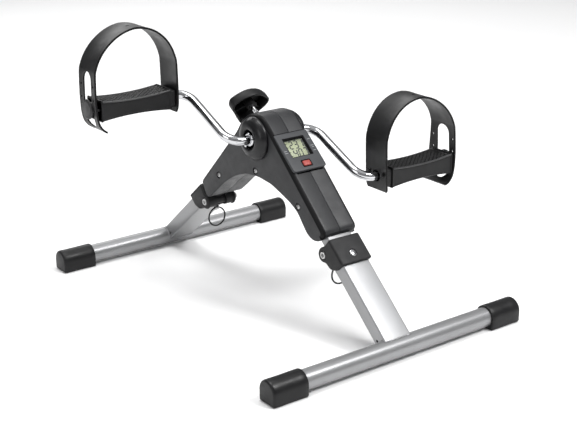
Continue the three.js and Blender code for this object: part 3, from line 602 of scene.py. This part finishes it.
def make_display():
    corners = fillet([(-24.5, 0.0), (26.5, 0.0), (26.5, 58.0), (-24.5, 58.0)], [4.2, 4.2, 2.4, 2.4], 5)
    plate = prism("bezel_plate", corners, -3.3, 0.0, on_bezel, r=0.0, r_hi=0.8)
    boolean(plate, [
        prism("c", rect(*WINDOW, 0.8), -6, 3, on_bezel),
        prism("c", frame_rect(BUTTON, 1.8, 1.8, 1.8, 1.7, 2.0), -6, 3, on_bezel),
    ])
    piece(plate, "housing", MAT["bezel"], ["display_bezel"], bevel=0.3, segs=2, angle=40)
    # black surround inside the window and inside the button's hole: painted shade on the recess walls
    outer = frame_rect(WINDOW, -0.05, -0.05, -0.05, -0.05, 0.8)
    rim = prism("lcd_surround", outer, PLATE_TOP - 0.05, -0.25, on_bezel)
    boolean(rim, [prism("c", frame_rect(WINDOW, -1.0, -2.4, -0.9, -2.2, 0.5), -6, 3, on_bezel)])
    piece(rim, "housing", MAT["recess_shade"], bevel=0.1)
    outer = frame_rect(BUTTON, 1.75, 1.75, 1.75, 1.65, 1.95)
    rim = prism("button_surround", outer, -2.9, -0.5, on_bezel)
    boolean(rim, [prism("c", frame_rect(BUTTON, 0.35, 0.35, 0.35, 0.35, 1.2), -6, 3, on_bezel)])
    piece(rim, "housing", MAT["recess_shade"], bevel=0.1)
    outer = frame_rect(WINDOW, -1.1, -2.5, -1.0, -2.3, 0.5)
    ob = prism("lcd_cover", outer, -3.0, -2.5, on_bezel, r=0.1, steps=2)
    piece(ob, "housing", MAT["glass"], ["lcd_window"], angle=40)
    outer = frame_rect(WINDOW, 1.0, 1.0, 1.0, 1.0, 0.4)
    ob = prism("lcd_plate", outer, -5.9, PLATE_TOP, on_bezel, r=0.1, steps=2)
    piece(ob, "housing", MAT["lcd"], ["lcd_panel"], angle=40)
    bars = []
    for row, s, text in ((0, 41.4, "231"), (1, 28.4, "407")):
        for i, char in enumerate(text):
            bars += digit(char, -4.2 + 7.7 * i + 0.6 * row, s, 4.9, 11.0)
    for s in (44.6, 38.6, 31.2, 25.6):
        bars.append(prism("d", rect(-12.6, -9.6, s - 0.4, s + 0.4), *INK, on_bezel))
    ob = merge("lcd_figures", bars)
    piece(ob, "housing", MAT["ink"], angle=40)
    marks = []
    left_x, right_x = -20.6, 22.0
    for x, s, w in ((left_x, 31.5, 4.6), (left_x, 28.6, 5.2), (right_x, 43.0, 4.4), (right_x, 33.0, 4.8),
                    (right_x, 30.4, 3.4), (right_x, 25.4, 4.4)):
        dash = rect(x - w / 2, x + w / 2, s - 0.4, s + 0.4, 0.2, 2)
        marks.append(prism("m", dash, -0.04, 0.05, on_bezel))
    ob = merge("bezel_marks", marks)
    piece(ob, "housing", MAT["print"], angle=40)
    # button: crowned cap with small ribs
    low, high = BUTTON[2:]
    parts = [prism("button_cap", rect(*BUTTON, 1.4, 5), -4.9, 0.9, on_bezel, r=0.0, r_hi=0.9)]
    for i in range(4):
        x = -3.9 + 2.6 * i
        rib = rect(x - 0.35, x + 0.35, low + 1.7, high - 1.7, 0.3, 2)
        parts.append(prism("r", rib, 0.7, 1.12, on_bezel, r=0.1, steps=2))
    piece(merge("button_red", parts), "button", MAT["red"], ["reset_button"], angle=40)


# ---- crank ----
def crank_path(k):
    py, pz = pedal_axis(k)
    corners = [(k * 27.4, *HUB), (k * CRANK_X, *HUB), (k * CRANK_X, py, pz), (k * AXLE_END, py, pz)]
    pts = [Vector(corners[0])]
    for i in (1, 2):
        v = Vector(corners[i])
        a = (Vector(corners[i - 1]) - v).normalized()
        b = (Vector(corners[i + 1]) - v).normalized()
        centre = v + (a + b) * CRANK_BEND
        for j in range(13):
            t = math.radians(90 * j / 12)
            pts.append(centre - (b * math.cos(t) + a * math.sin(t)) * CRANK_BEND)
    pts.append(Vector(corners[3]))
    return pts


def make_cranks():
    for side, k in SIDES:
        ob = sweep(f"crank_{side}_bar", crank_path(k), BAR_R, 36)
        piece(ob, "crank", MAT["chrome"], [f"crank_{side}"], bevel=0.4, angle=50)
        x0, hole = 31.6, AXLE_HOLE
        prof = fillet([(x0, hole), (x0, 9.4), (x0 + 4.4, 9.6), (x0 + 6.6, 8.2), (x0 + 6.6, hole)],
                      [0.1, 0.6, 1.2, 0.8, 0.2], 3)
        parts = [lathe("c", [(k * a, r) for a, r in prof], about_x(*HUB), 40)]
        a = math.radians(CRANK_ANGLE + 90)
        for q in (-1, 1):
            y, z = HUB[0] + q * 8.7 * math.cos(a), HUB[1] + q * 8.7 * math.sin(a)
            place = about_x(y, z)
            parts.append(rod("l", 2.3, k * (x0 + 2.0), k * (x0 + 8.6), place, 20))
            tip = [(x0 + 8.4, 0.0), (x0 + 8.4, 2.3), (x0 + 9.2, 1.9), (x0 + 9.6, 0.0)]
            parts.append(lathe("l", [(k * d, r) for d, r in tip], place, 20))
        piece(merge(f"crank_collar_{side}_ring", parts), "crank", MAT["chrome"],
              [f"crank_collar_{side}"], angle=40)


# ---- tension knob ----
def knob_outline(n=9):
    """three-lobed outline (x, m) made of curves, each with its two ends and the point it bends towards"""
    ends = [(-26.5, 7), (26.5, 7), (25, -8), (7, -31), (-7, -31), (-25, -8)]
    bends = [(0, 31), (31, 1), (16, -18), (0, -38), (-16, -18), (-31, 1)]
    out = []
    for a, b, c in zip(ends, bends, ends[1:] + ends[:1]):
        for i in range(n):
            t = i / n
            out.append(tuple((1 - t) ** 2 * a[j] + 2 * t * (1 - t) * b[j] + t * t * c[j] for j in (0, 1)))
    return out


def make_knob():
    outline = knob_outline()
    # tray open towards the housing, with a crowned back
    spec = [(67.4, 3.6), (66.2, 2.7), (56.9, 2.4), (56.3, 2.0), (56.0, 1.2), (56.2, 0.45), (56.8, 0.0),
            (66.4, 0.0), (68.4, 0.5), (69.8, 1.8), (70.6, 4.4), (71.0, 8.5)]
    rings = [[along_knob(d, x, m) for x, m in inset(outline, i)] for d, i in spec]
    parts = [loft("t", rings)]
    boss = [(53.4, 3.2), (53.4, 6.4), (54.0, 7.0), (68.0, 7.4), (68.0, 3.2)]
    parts.append(lathe("b", boss, along_knob, 32))
    for ang in (90, 210, 330):
        c, s = math.cos(math.radians(ang)), math.sin(math.radians(ang))
        reach = 12.5 if ang == 90 else 23.0
        parts.append(prism("r", rect(6.0, reach, -1.0, 1.0, 0.3, 2), 59.4, 68.0,
                           lambda t, a, b, c=c, s=s: along_knob(t, a * c - b * s, a * s + b * c)))
    ob = merge("tension_knob_body", parts)
    piece(ob, "knob", MAT["knob"], ["tension_knob"], angle=42)
    prof = [(21.4, 0.0), (21.4, 2.6), (22.0, 3.0)]
    for i in range(16):  # rolled thread
        d = 22.4 + 1.25 * i
        prof += [(d, 3.0), (d + 0.6, 2.6)]
    prof += [(43.0, 3.0), (64.4, 3.0), (64.4, 0.0)]
    ob = lathe("tension_rod_bar", prof, along_knob, 28)
    piece(ob, "knob", MAT["chrome"], ["tension_rod"], angle=40)


# ---- pedals ----
PEDAL_ENDS = {-1: (99.0, 200.5), 1: (101.6, 205.6)}


def pedal_z(x):
    t = (x - 99.0) / 104.5
    sag = 4 * t * (1 - t)
    return 12.4 - 3.4 * sag, -15.0 + 3.4 * sag


def make_pedal_body(side, k):
    at = ped(k)
    rings = []
    x_in, x_out = PEDAL_ENDS[k]
    stations = [(x_in, 1.0), (x_in + 0.25, 0.45), (x_in + 0.9, 0.1)]
    stations += [(x_in + 2 + (x_out - x_in - 3.5) * i / 22, 0.0) for i in range(23)]
    stations += [(x_out - 0.6, 0.1), (x_out - 0.15, 0.45), (x_out, 1.0)]
    for x, shrink in stations:
        top, low = pedal_z(x)
        corners = [(-18.5, low), (18.5, low), (18.5, top - 1.0), (-18.5, top - 1.0)]
        pts = fillet(corners, [1.6, 1.6, 2.4, 2.4], 4)
        if shrink:
            pts = inset(pts, shrink)
        rings.append([at(x, y, z) for y, z in pts])
    body = loft("b", rings)
    cutters = []
    # shallow panels on both long sides
    for q in (-1, 1):
        pan = []
        for i in range(19):
            x = x_in + 3.6 + (x_out - x_in - 6.5) * i / 18
            top, low = pedal_z(x)
            y0, y1 = sorted((q * 18.0, q * 22.0))
            z0, z1 = low + 2.4, top - 3.6
            pan.append([at(x, y0, z0), at(x, y1, z0), at(x, y1, z1), at(x, y0, z1)])
        cutters.append(loft("p", pan))
    # hollow underside: cells between cross ribs
    for i in range(6):
        x0 = x_in + 4.0 + i * 16.0
        for y0, y1 in ((-16.0, -8.6), (8.6, 16.0)):
            cutters.append(prism("u", rect(x0, x0 + 13.8, y0, y1, 1.0, 3), -20, 5.0, upwards(at)))
    cutters.append(rod("a", AXLE_HOLE, 90, 215, at, 32))
    boolean(body, cutters)
    parts = [body]
    # tread: rows of short raised bars, staggered
    for row in range(11):
        y = -15.5 + 3.1 * row
        x = x_in + 3.2 + (3.4 if row % 2 else 0)
        while x < x_out - 8.0:
            bars = []
            for xx in (x, x + 2.95, x + 5.9):
                zz = pedal_z(xx)[0] - 1.0
                bar = [(-0.95, -0.3), (0.95, -0.3), (0.95, 0.6), (0.6, 0.95), (-0.6, 0.95), (-0.95, 0.6)]
                bars.append([at(xx, y + u, zz + v) for u, v in bar])
            parts.append(loft("t", bars))
            x += 6.8
    # inner shoulder against the strap, and the strap's pegs
    shoulder = prism("s", rect(-17.0, 17.0, -13.0, 10.0, 3.0, 5), 92.6, x_in + 0.3, at, r=0.8)
    boolean(shoulder, [rod("a", AXLE_HOLE, 88, 112, at, 32)])
    parts.append(shoulder)
    for y in (-13.6, 13.6):
        for lo, hi, z, r in ((210.1, x_out - 0.7, 0.0, 2.0), (86.8, 93.5, 4.0, 2.4)):
            s = 1 if hi > lo else -1
            neck = lo + s * 1.4
            prof = [(lo, 0.0), (lo, r * 0.6), (lo + s * 0.5, r), (neck, r), (neck, r - 0.25),
                    (hi, r - 0.25), (hi, 0.0)]
            parts.append(lathe("g", prof, about_axle(at, y, z), 20))
    # end plate that closes the tread at both ends
    for x0, x1 in ((x_in, x_in + 1.8), (x_out - 2.1, x_out)):
        parts.append(prism("e", rect(-18.9, 18.9, -15.2, 12.7, 2.2, 4), x0, x1, at, r=0.5, steps=3))
    for plate in parts[-2:]:
        boolean(plate, [rod("a", AXLE_HOLE, 90, 215, at, 32)])
    # smooth rolled lip along both long edges of the tread; its lighter colour is a painted highlight
    lip = []
    for q in (-1, 1):
        path = []
        for i in range(24):
            x = x_in + 2.2 + (x_out - x_in - 4.4) * i / 23
            path.append(at(x, q * 17.9, pedal_z(x)[0] - 1.2))
        lip.append(sweep("l", path, 1.15, 12))
    pedal = f"{side}_pedal"
    piece(merge(f"pedal_lip_{side}", lip), pedal, MAT["lip"], angle=50)
    tread = merge(f"pedal_body_{side}_tread", parts)
    piece(tread, pedal, MAT["plastic"], [f"pedal_body_{side}"], bevel=0.22, segs=2, angle=38)


def make_pedal_cap(side, k):
    at = ped(k)
    prof = fillet([(212.6, 0.0), (212.2, 6.0), (212.0, 10.4), (211.5, 12.5), (209.5, 12.8), (209.2, 12.2),
                   (209.2, 8.6), (203.9, 8.6), (203.9, 6.7), (206.4, 6.7), (206.4, 0.0)],
                  [0, 2.0, 0.5, 0.7, 0.4, 0.3, 0.2, 0.3, 0.2, 0.1, 0], 3)
    ob = lathe(f"pedal_cap_{side}_disc", prof, at, 56)
    groove = lathe("c", [(211.5, 10.0), (213.0, 10.0), (213.0, 10.55), (211.5, 10.55)], at, 56)
    boolean(ob, [groove])
    piece(ob, f"{side}_pedal", MAT["disc"], [f"pedal_cap_{side}"], angle=35)


STRAP_X, STRAP_Z, STRAP_HALF, STRAP_T = 149, 37.5, 20.6, 1.25  # middle of the loop, half width, half thickness


def strap_line():
    """middle line of the band as (|x|, z), inner end first"""
    ctrl = [(92.6, -19.0), (91.0, -10.0), (90.6, 0.0), (90.4, 18.0)]
    for i in range(1, 24):
        a = math.pi - math.pi * i / 24
        x, z = STRAP_X + 58.9 * math.cos(a), STRAP_Z + 59.4 * math.sin(a)
        if x > STRAP_X:
            x -= 6.0 * math.sin(a) ** 2 * abs(math.cos(a)) ** 0.5
        ctrl.append((x - 2.2 * math.sin(a) ** 2, z))
    ctrl += [(208.4, 18.0), (208.2, 4.0), (207.2, -9.0), (204.6, -18.4), (199.6, -25.2), (193.6, -29.2)]
    pts = []
    for i in range(len(ctrl) - 1):
        p = [Vector(ctrl[max(0, min(len(ctrl) - 1, i + o))]) for o in (-1, 0, 1, 2)]
        for j in range(3):
            t = j / 3
            bend = (2 * p[0] - 5 * p[1] + 4 * p[2] - p[3]) * t * t
            twist = (3 * p[1] - p[0] - 3 * p[2] + p[3]) * t ** 3
            pts.append(0.5 * ((2 * p[1]) + (p[2] - p[0]) * t + bend + twist))
    pts.append(Vector(ctrl[-1]))
    return pts


def make_strap(side, k):
    at = ped(k)
    line = strap_line()
    count = len(line)
    rings = []
    for i, p in enumerate(line):
        d = (line[min(i + 1, count - 1)] - line[max(i - 1, 0)]).normalized()
        n = Vector((-d.y, d.x))  # towards the outside of the loop
        out = 1.0 if n.dot(p - Vector((STRAP_X, 38))) > 0 else -1.0
        n = n * out
        lean = 1.6 * max(0.0, min(1.0, (p.y - 10) / 80))
        end = min(i, count - 1 - i)
        half = STRAP_HALF - (2.2, 1.0, 0.35, 0.1)[end] if end < 4 else STRAP_HALF
        t = STRAP_T
        # band with a slightly raised bead along both edges
        back = [(0, -t + 0.22), (half - 3.0, -t + 0.22), (half - 2.2, -t), (half - 0.35, -t), (half, -t * 0.5)]
        front = [(half, t * 0.55), (half - 0.35, t + 0.1), (half - 2.2, t + 0.1), (half - 3.0, t - 0.16),
                 (0, t - 0.16)]
        prof = [(-a, b) for a, b in back[:0:-1]] + back + front + [(-a, b) for a, b in front[-2::-1]]
        # the right strap's outer end is wider at the rear
        grow = 9.0 * max(0.0, min(1.0, (80.0 - p.y) / 70.0)) if p.x > 160 and k > 0 else 0.0
        band_ring = []
        for a, b in prof:
            widened = a + lean + grow * max(0.0, a + 6.0) / 26.6
            band_ring.append(at(p.x + n.x * b, widened, p.y + n.y * b))
        rings.append(band_ring)
    band = loft("b", rings)
    cutters = []
    slot = []
    low, high = -14.5, 37.0
    wide = 1.0 if k > 0 else 0.0
    for i in range(13):
        a = math.radians(180 * i / 12)
        slot.append((2.6 * wide + (9.8 + 1.6 * wide) * math.cos(a), high + 11.0 * math.sin(a)))
    for i in range(13):
        a = math.radians(180 + 180 * i / 12)
        y = 2.0 * wide - 1.5 * (1 - wide) + (10.6 + 1.4 * wide) * math.cos(a)
        slot.append((y, low + 9.6 * math.sin(a)))
    cutters.append(prism("c", slot, 190, 216, at))
    for row in (-15.2, 14.8 + 6.8 * wide):
        for z in (14.0, 30.5):
            cutters.append(rod("c", 1.6, 196, 216, about_axle(at, row, z), 20))
    for y in (-13.6, 13.6):
        cutters.append(rod("c", 2.3, 200, 216, about_axle(at, y, 0), 20))
        cutters.append(rod("c", 2.75, 80, 98, about_axle(at, y, 4), 20))
    cutters.append(rod("c", 8.0, 80, 98, at, 32))
    # small slot on the crown
    cutters.append(prism("c", rect(146.4, 151.6, -3.0, -0.6, 0.9, 3), 85, 110, upwards(at)))
    boolean(band, cutters)
    band.name = f"pedal_strap_{side}_band"
    piece(band, f"{side}_pedal", MAT["strap"], [f"pedal_strap_{side}"],
          bevel=0.2, segs=2, angle=50)
    # the strap's edge faces get the darker edge colour: painted shade
    band.data.materials.append(MAT["edge"])
    for face in band.data.polygons:
        if abs(face.normal.y) > 0.6:
            face.material_index = 1


# ---- legs ----
def section(w, t, r):
    """cross-section (x, n) of a rectangular tube with rolled corners, from its half sizes"""
    return fillet([(-w, -t), (w, -t), (w, t), (-w, t)], r, 5)


def make_leg(side):
    at = limb(side)
    body = f"{side}_leg"
    k = -1 if side == "front" else 1
    y0 = k * BASE_Y
    # base tube
    h, r = BASE_HALF, BASE_R
    prof = [(-h, r - 1.5), (-h, r - 0.2), (0.2 - h, r), (h - 0.2, r), (h, r - 0.2), (h, r - 1.5)]
    ob = lathe(f"{side}_base_bar", prof, about_x(y0, BASE_Z), 72)
    piece(ob, body, MAT["tube"], [f"{side}_base_tube"], angle=40)
    # end caps
    for name, q in SIDES:
        foot = [(-CAP_R, -5.6), (0.4 - CAP_R, -CAP_FOOT), (CAP_R - 0.4, -CAP_FOOT), (CAP_R, -5.6)]
        pts = ring(0, 0, CAP_R, 25, 0, 180, full=False) + fillet(foot, [0, 3.4, 3.4, 0], 5)
        rings = []
        spec = [(144.3, 0.9), (144.5, 0.35), (145.1, 0.0), (151.0, -0.02), (160, 0.12), (170, 0.2),
                (180, 0.14), (190.0, 0.0), (191.4, 0.35), (192.3, 1.0), (192.85, 2.0), (193.0, 3.2)]
        for x, d in spec:
            rings.append([(q * x, y0 + a, BASE_Z + b) for a, b in inset(pts, d)])
        cap = loft(f"{side}_base_cap_{name}_boot", rings)
        boolean(cap, [rod("c", BASE_R + 0.12, q * 140, q * 190.2, about_x(y0, BASE_Z), 64)])
        node = f"{side}_base_cap_{name}"
        piece(cap, body, MAT["rubber"], [node], bevel=0.35, segs=3, angle=45)
    # leg tube with rolled corners, mitred on the base tube
    w, t = LEG_W / 2, LEG_T / 2
    outer = section(w, t, 2.2)
    inner = section(w - LEG_WALL, t - LEG_WALL, 1.2)
    ends = ((0, inner), (0, outer), (LEG_END, outer), (LEG_END, inner))
    rings = [[at(x, s, n) for x, n in o] for s, o in ends]
    tube = loft(f"{side}_leg_bar", rings, closed=True)
    boolean(tube, [
        rod("c", BASE_R + 0.06, -60, 60, about_x(y0, BASE_Z), 72),
        prism("c", rect(-1.7, 1.7, 14.4, 18.0, 1.6, 4), -30, -16, lambda x, n, s: at(x, s, n - 3.4)),
    ])
    piece(tube, body, MAT["tube"], [f"{side}_leg_tube"], bevel=0.15, segs=1, angle=50)
    # weld bead round the joint
    path = section(w + 0.3, t + 0.2, 2.4)
    dense = []
    for i, (x, n) in enumerate(path):
        x2, n2 = path[(i + 1) % len(path)]
        steps = max(1, int(math.hypot(x2 - x, n2 - n) / 0.9))
        for j in range(steps):
            t = j / steps
            xx, nn = x + (x2 - x) * t, n + (n2 - n) * t
            dense.append(at(xx, math.sqrt(max(0, (BASE_R + 0.2) ** 2 - nn * nn)), nn))
    rnd = [0.75 + 0.75 * random.random() for _ in dense]
    ob = sweep(f"{side}_weld_bead", dense, 0.95, 8, closed=True,
               lump=lambda i: 0.5 * rnd[i] + 0.25 * (rnd[i - 1] + rnd[(i + 1) % len(rnd)]))
    piece(ob, body, MAT["weld"], angle=60)


def make_bracket(side):
    at = limb(side)
    body = f"{side}_leg"
    ps, pn = PIVOT
    pts = [(114.5, 14.5), (152, 14.5), (152, -2)]
    pts += ring(ps, pn, 10.5, 9, 20, -120, full=False)
    pts += [(134.5, -14.6), (124, -13.5), (116, -3)]
    radii = [2.0, 2.2, 2.5] + [3.0] * 9 + [4.0, 4.0, 3.5]
    outline = fillet(pts, radii, 4)
    ob = prism(f"{side}_bracket_sleeve", outline, -BRACKET_HALF, BRACKET_HALF, at, r=3.0, steps=5)
    boolean(ob, [
        prism("c", rect(-20.25, 20.25, -10.25, 10.25, 1.6), 100, 170, along_limb(at)),
        prism("c", rect(ps - 10, 175, -45, 0.2), -20.3, 20.3, at),
        prism("c", rect(110, 135.3, -10.25, 5), -20.25, 20.25, at),
    ])
    barrel = prism("a", ring(ps, pn, 9.0, 40), -21.0, 21.0, at)
    boolean(ob, [barrel], "UNION")
    y, z = at(0, ps, pn)[1:]
    boolean(ob, [
        prism("c", rect(ps - 9.7, 175, -45, 0.1), -7.9, 7.9, at),
        rod("c", 3.25, -21.8, 30, about_x(y, z), 28),
        rod("c", 5.4, -30, -21.4, about_x(y, z), 36),
        rod("c", 5.6, 13.3, 30, out_of_limb(at, RIVET_S), 36),
        rod("c", 2.8, -30, -4, out_of_limb(at, LOCK_S), 24),
    ])
    piece(ob, body, MAT["bracket"], [f"{side}_bracket"], bevel=0.4, segs=3, angle=40)
    # rivet: low dome in its recess
    prof = [(8.0, 0.0), (8.0, 2.9), (13.4, 2.9), (13.4, 4.7), (14.5, 4.7), (15.1, 4.3), (15.5, 3.2),
            (15.7, 1.6), (15.75, 0.0)]
    ob = lathe(f"{side}_bracket_rivet_head", prof, out_of_limb(at, RIVET_S), 36)
    piece(ob, body, MAT["chrome"], [f"{side}_bracket_rivet"], angle=50)
    # hinge bolt with a socket head, and its nut
    prof = [(25.0, 0.0), (25.0, 2.7), (24.6, 3.0), (-21.6, 3.0), (-21.6, 4.7), (-23.6, 4.7), (-24.2, 4.3),
            (-24.2, 0.0)]
    ob = lathe(f"{side}_hinge_bolt_bar", prof, about_x(y, z), 36)
    boolean(ob, [prism("c", ring(0, 0, 2.9, 6), -26, -21.9, about_x(y, z))])
    piece(ob, body, MAT["steel"], [f"{side}_hinge_bolt"], bevel=0.15, angle=45)
    hexagon = ring(0, 0, 5.2, 6, 10, 370)
    nut = prism(f"{side}_hinge_nut_hex", hexagon, 23.9, 27.9, about_x(y, z), r=0.5, steps=3)
    boolean(nut, [rod("c", 3.05, 20, 30, about_x(y, z), 28)])
    piece(nut, body, MAT["steel"], [f"{side}_hinge_nut"], bevel=0.15, angle=35)
    # lock pin with its eye, and the pull ring
    prof = [(-21.4, 0.0), (-21.4, 2.4), (-20.8, 3.3), (-20.0, 3.6), (-16.4, 3.6), (-15.6, 3.1),
            (-15.4, 2.5), (-8.6, 2.5), (-7.9, 1.7), (-7.9, 0.0)]
    ob = lathe(f"{side}_lock_pin_bar", prof, out_of_limb(at, LOCK_S), 32)
    ey, ez = at(0, LOCK_S, EYE_N)[1:]
    boolean(ob, [rod("c", 1.8, -9, 9, about_x(ey, ez), 24)])
    piece(ob, f"{side}_lock", MAT["steel"], [f"{side}_lock_pin"], bevel=0.12, angle=50)
    path = []
    for i in range(56):
        t = 2 * math.pi * i / 56
        path.append((RING_R * math.sin(t), ey, ez - RING_R + RING_R * math.cos(t)))
    ob = sweep(f"{side}_pull_ring_wire", path, RING_WIRE, 12, closed=True)
    piece(ob, f"{side}_ring", MAT["wire"], [f"{side}_pull_ring"], angle=60)


def make_stub(side):
    at = limb(side)
    s0, s1 = STUB_START, STUB_END[side]
    outer = section(STUB_W / 2, STUB_T / 2, 1.8)
    inner = inset(outer, STUB_WALL)
    rings = [[at(x, s, n) for x, n in o] for s, o in ((s0, inner), (s0, outer), (s1, outer), (s1, inner))]
    ob = loft(f"{side}_upper_bar", rings, closed=True)
    piece(ob, "housing", MAT["tube"], [f"{side}_upper_tube"], bevel=0.15, segs=1, angle=50)


make_housing()
make_hubs()
make_screws()
make_display()
make_cranks()
make_knob()
for side, k in SIDES:
    make_pedal_body(side, k)
    make_pedal_cap(side, k)
    make_strap(side, k)
for side in ("front", "rear"):
    make_stub(side)
    make_leg(side)
    make_bracket(side)
for node, key in (("bearing_left", "acetal"), ("bearing_right", "acetal"), ("display_board", "board"),
                  ("button_cell", "steel"), ("reed_sensor", "sensor"), ("axle_drum", "steel"),
                  ("drum_magnet", "steel"), ("brake_shoe", "plastic"), ("brake_pad", "felt"),
                  ("front_hinge_lug", "bracket"), ("rear_hinge_lug", "bracket")):
    paint(node, key)


# ---- stage ----
def floor_material():
    g = Nodes("floor_pale")
    pale = g.ramp(g.noise(1.2), [(0.3, (0.93, 0.93, 0.93)), (0.7, (0.95, 0.95, 0.95))])
    g.link(pale, g.bsdf.inputs["Base Color"])
    g.link(g.span(g.noise(9.0), 0.7, 0.8), g.bsdf.inputs["Roughness"])
    g.bsdf.inputs["Specular IOR Level"].default_value = 0.2
    return g.mat


def make_stage():
    me = bpy.data.meshes.new("floor")
    e = 9.0
    me.from_pydata([(-e, -e, 0), (e, -e, 0), (e, e, 0), (-e, e, 0)], [], [(0, 1, 2, 3)])
    floor = bpy.data.objects.new("floor", me)
    bpy.context.scene.collection.objects.link(floor)
    me.materials.append(floor_material())

    world = bpy.data.worlds.new("studio")
    bpy.context.scene.world = world
    world.use_nodes = True
    tree = world.node_tree
    back = tree.nodes["Background"]
    coord = tree.nodes.new("ShaderNodeTexCoord")
    split = tree.nodes.new("ShaderNodeSeparateXYZ")
    ramp = tree.nodes.new("ShaderNodeValToRGB")
    tree.links.new(coord.outputs["Generated"], split.inputs[0])
    tree.links.new(split.outputs["Z"], ramp.inputs["Fac"])
    tree.links.new(ramp.outputs["Color"], back.inputs["Color"])
    els = ramp.color_ramp.elements
    els[0].position, els[0].color = 0.0, (0.5, 0.5, 0.51, 1)
    els[1].position, els[1].color = 1.0, (0.8, 0.8, 0.8, 1)
    # dark and bright bands that show in the chrome
    for pos, v in ((0.05, 0.05), (0.2, 0.03), (0.26, 0.55), (0.42, 0.8), (0.5, 0.12), (0.62, 0.1),
                   (0.7, 0.75)):
        stop = els.new(pos)
        stop.color = (v, v, v * 1.01, 1)
    back.inputs["Strength"].default_value = 0.75

    def area(name, loc, size, power, target=(0, 0, 0.12), colour=(1, 1, 1)):
        data = bpy.data.lights.new(name, "AREA")
        data.shape = "RECTANGLE"
        data.size, data.size_y = size
        data.energy = power
        data.color = colour
        ob = bpy.data.objects.new(name, data)
        ob.location = loc
        ob.rotation_euler = (Vector(target) - Vector(loc)).to_track_quat("-Z", "Y").to_euler()
        bpy.context.scene.collection.objects.link(ob)

    area("key", (0.9, -1.5, 2.2), (0.9, 0.7), 48)
    area("top", (-0.1, 0.2, 2.6), (1.3, 1.3), 38)
    area("fill", (-2.2, -0.7, 1.1), (1.2, 1.4), 10)
    area("rim", (0.6, 2.2, 1.4), (2.0, 0.8), 14)


# camera at the photograph's viewing angle: places in millimetres, focal length in pixels of the frame
CAMERA_EYE = (-914.90, -1280.51, 670.91)
CAMERA_TARGET = (8.02, -21.60, 114.36)
CAMERA_ROLL = -0.010
FOCAL_PX, FRAME_PX, SENSOR_MM = 1264.99, 577.0, 36.0


def make_camera():
    eye = Vector(CAMERA_EYE) * MM
    target = Vector(CAMERA_TARGET) * MM
    fwd = (target - eye).normalized()
    right = fwd.cross(Vector((0, 0, 1))).normalized()
    up = right.cross(fwd)
    c, s = math.cos(CAMERA_ROLL), math.sin(CAMERA_ROLL)
    r2 = right * c + up * s
    u2 = up * c - right * s
    data = bpy.data.cameras.new("camera")
    data.sensor_width = SENSOR_MM
    data.lens = FOCAL_PX * SENSOR_MM / FRAME_PX
    data.clip_start, data.clip_end = 0.05, 60
    cam = bpy.data.objects.new("camera", data)
    rows = [(r2[i], u2[i], -fwd[i], eye[i]) for i in range(3)]
    cam.matrix_world = Matrix(rows + [(0, 0, 0, 1)])
    bpy.context.scene.collection.objects.link(cam)
    bpy.context.scene.camera = cam


make_stage()
make_camera()
bpy.context.scene.view_settings.view_transform = "Standard"
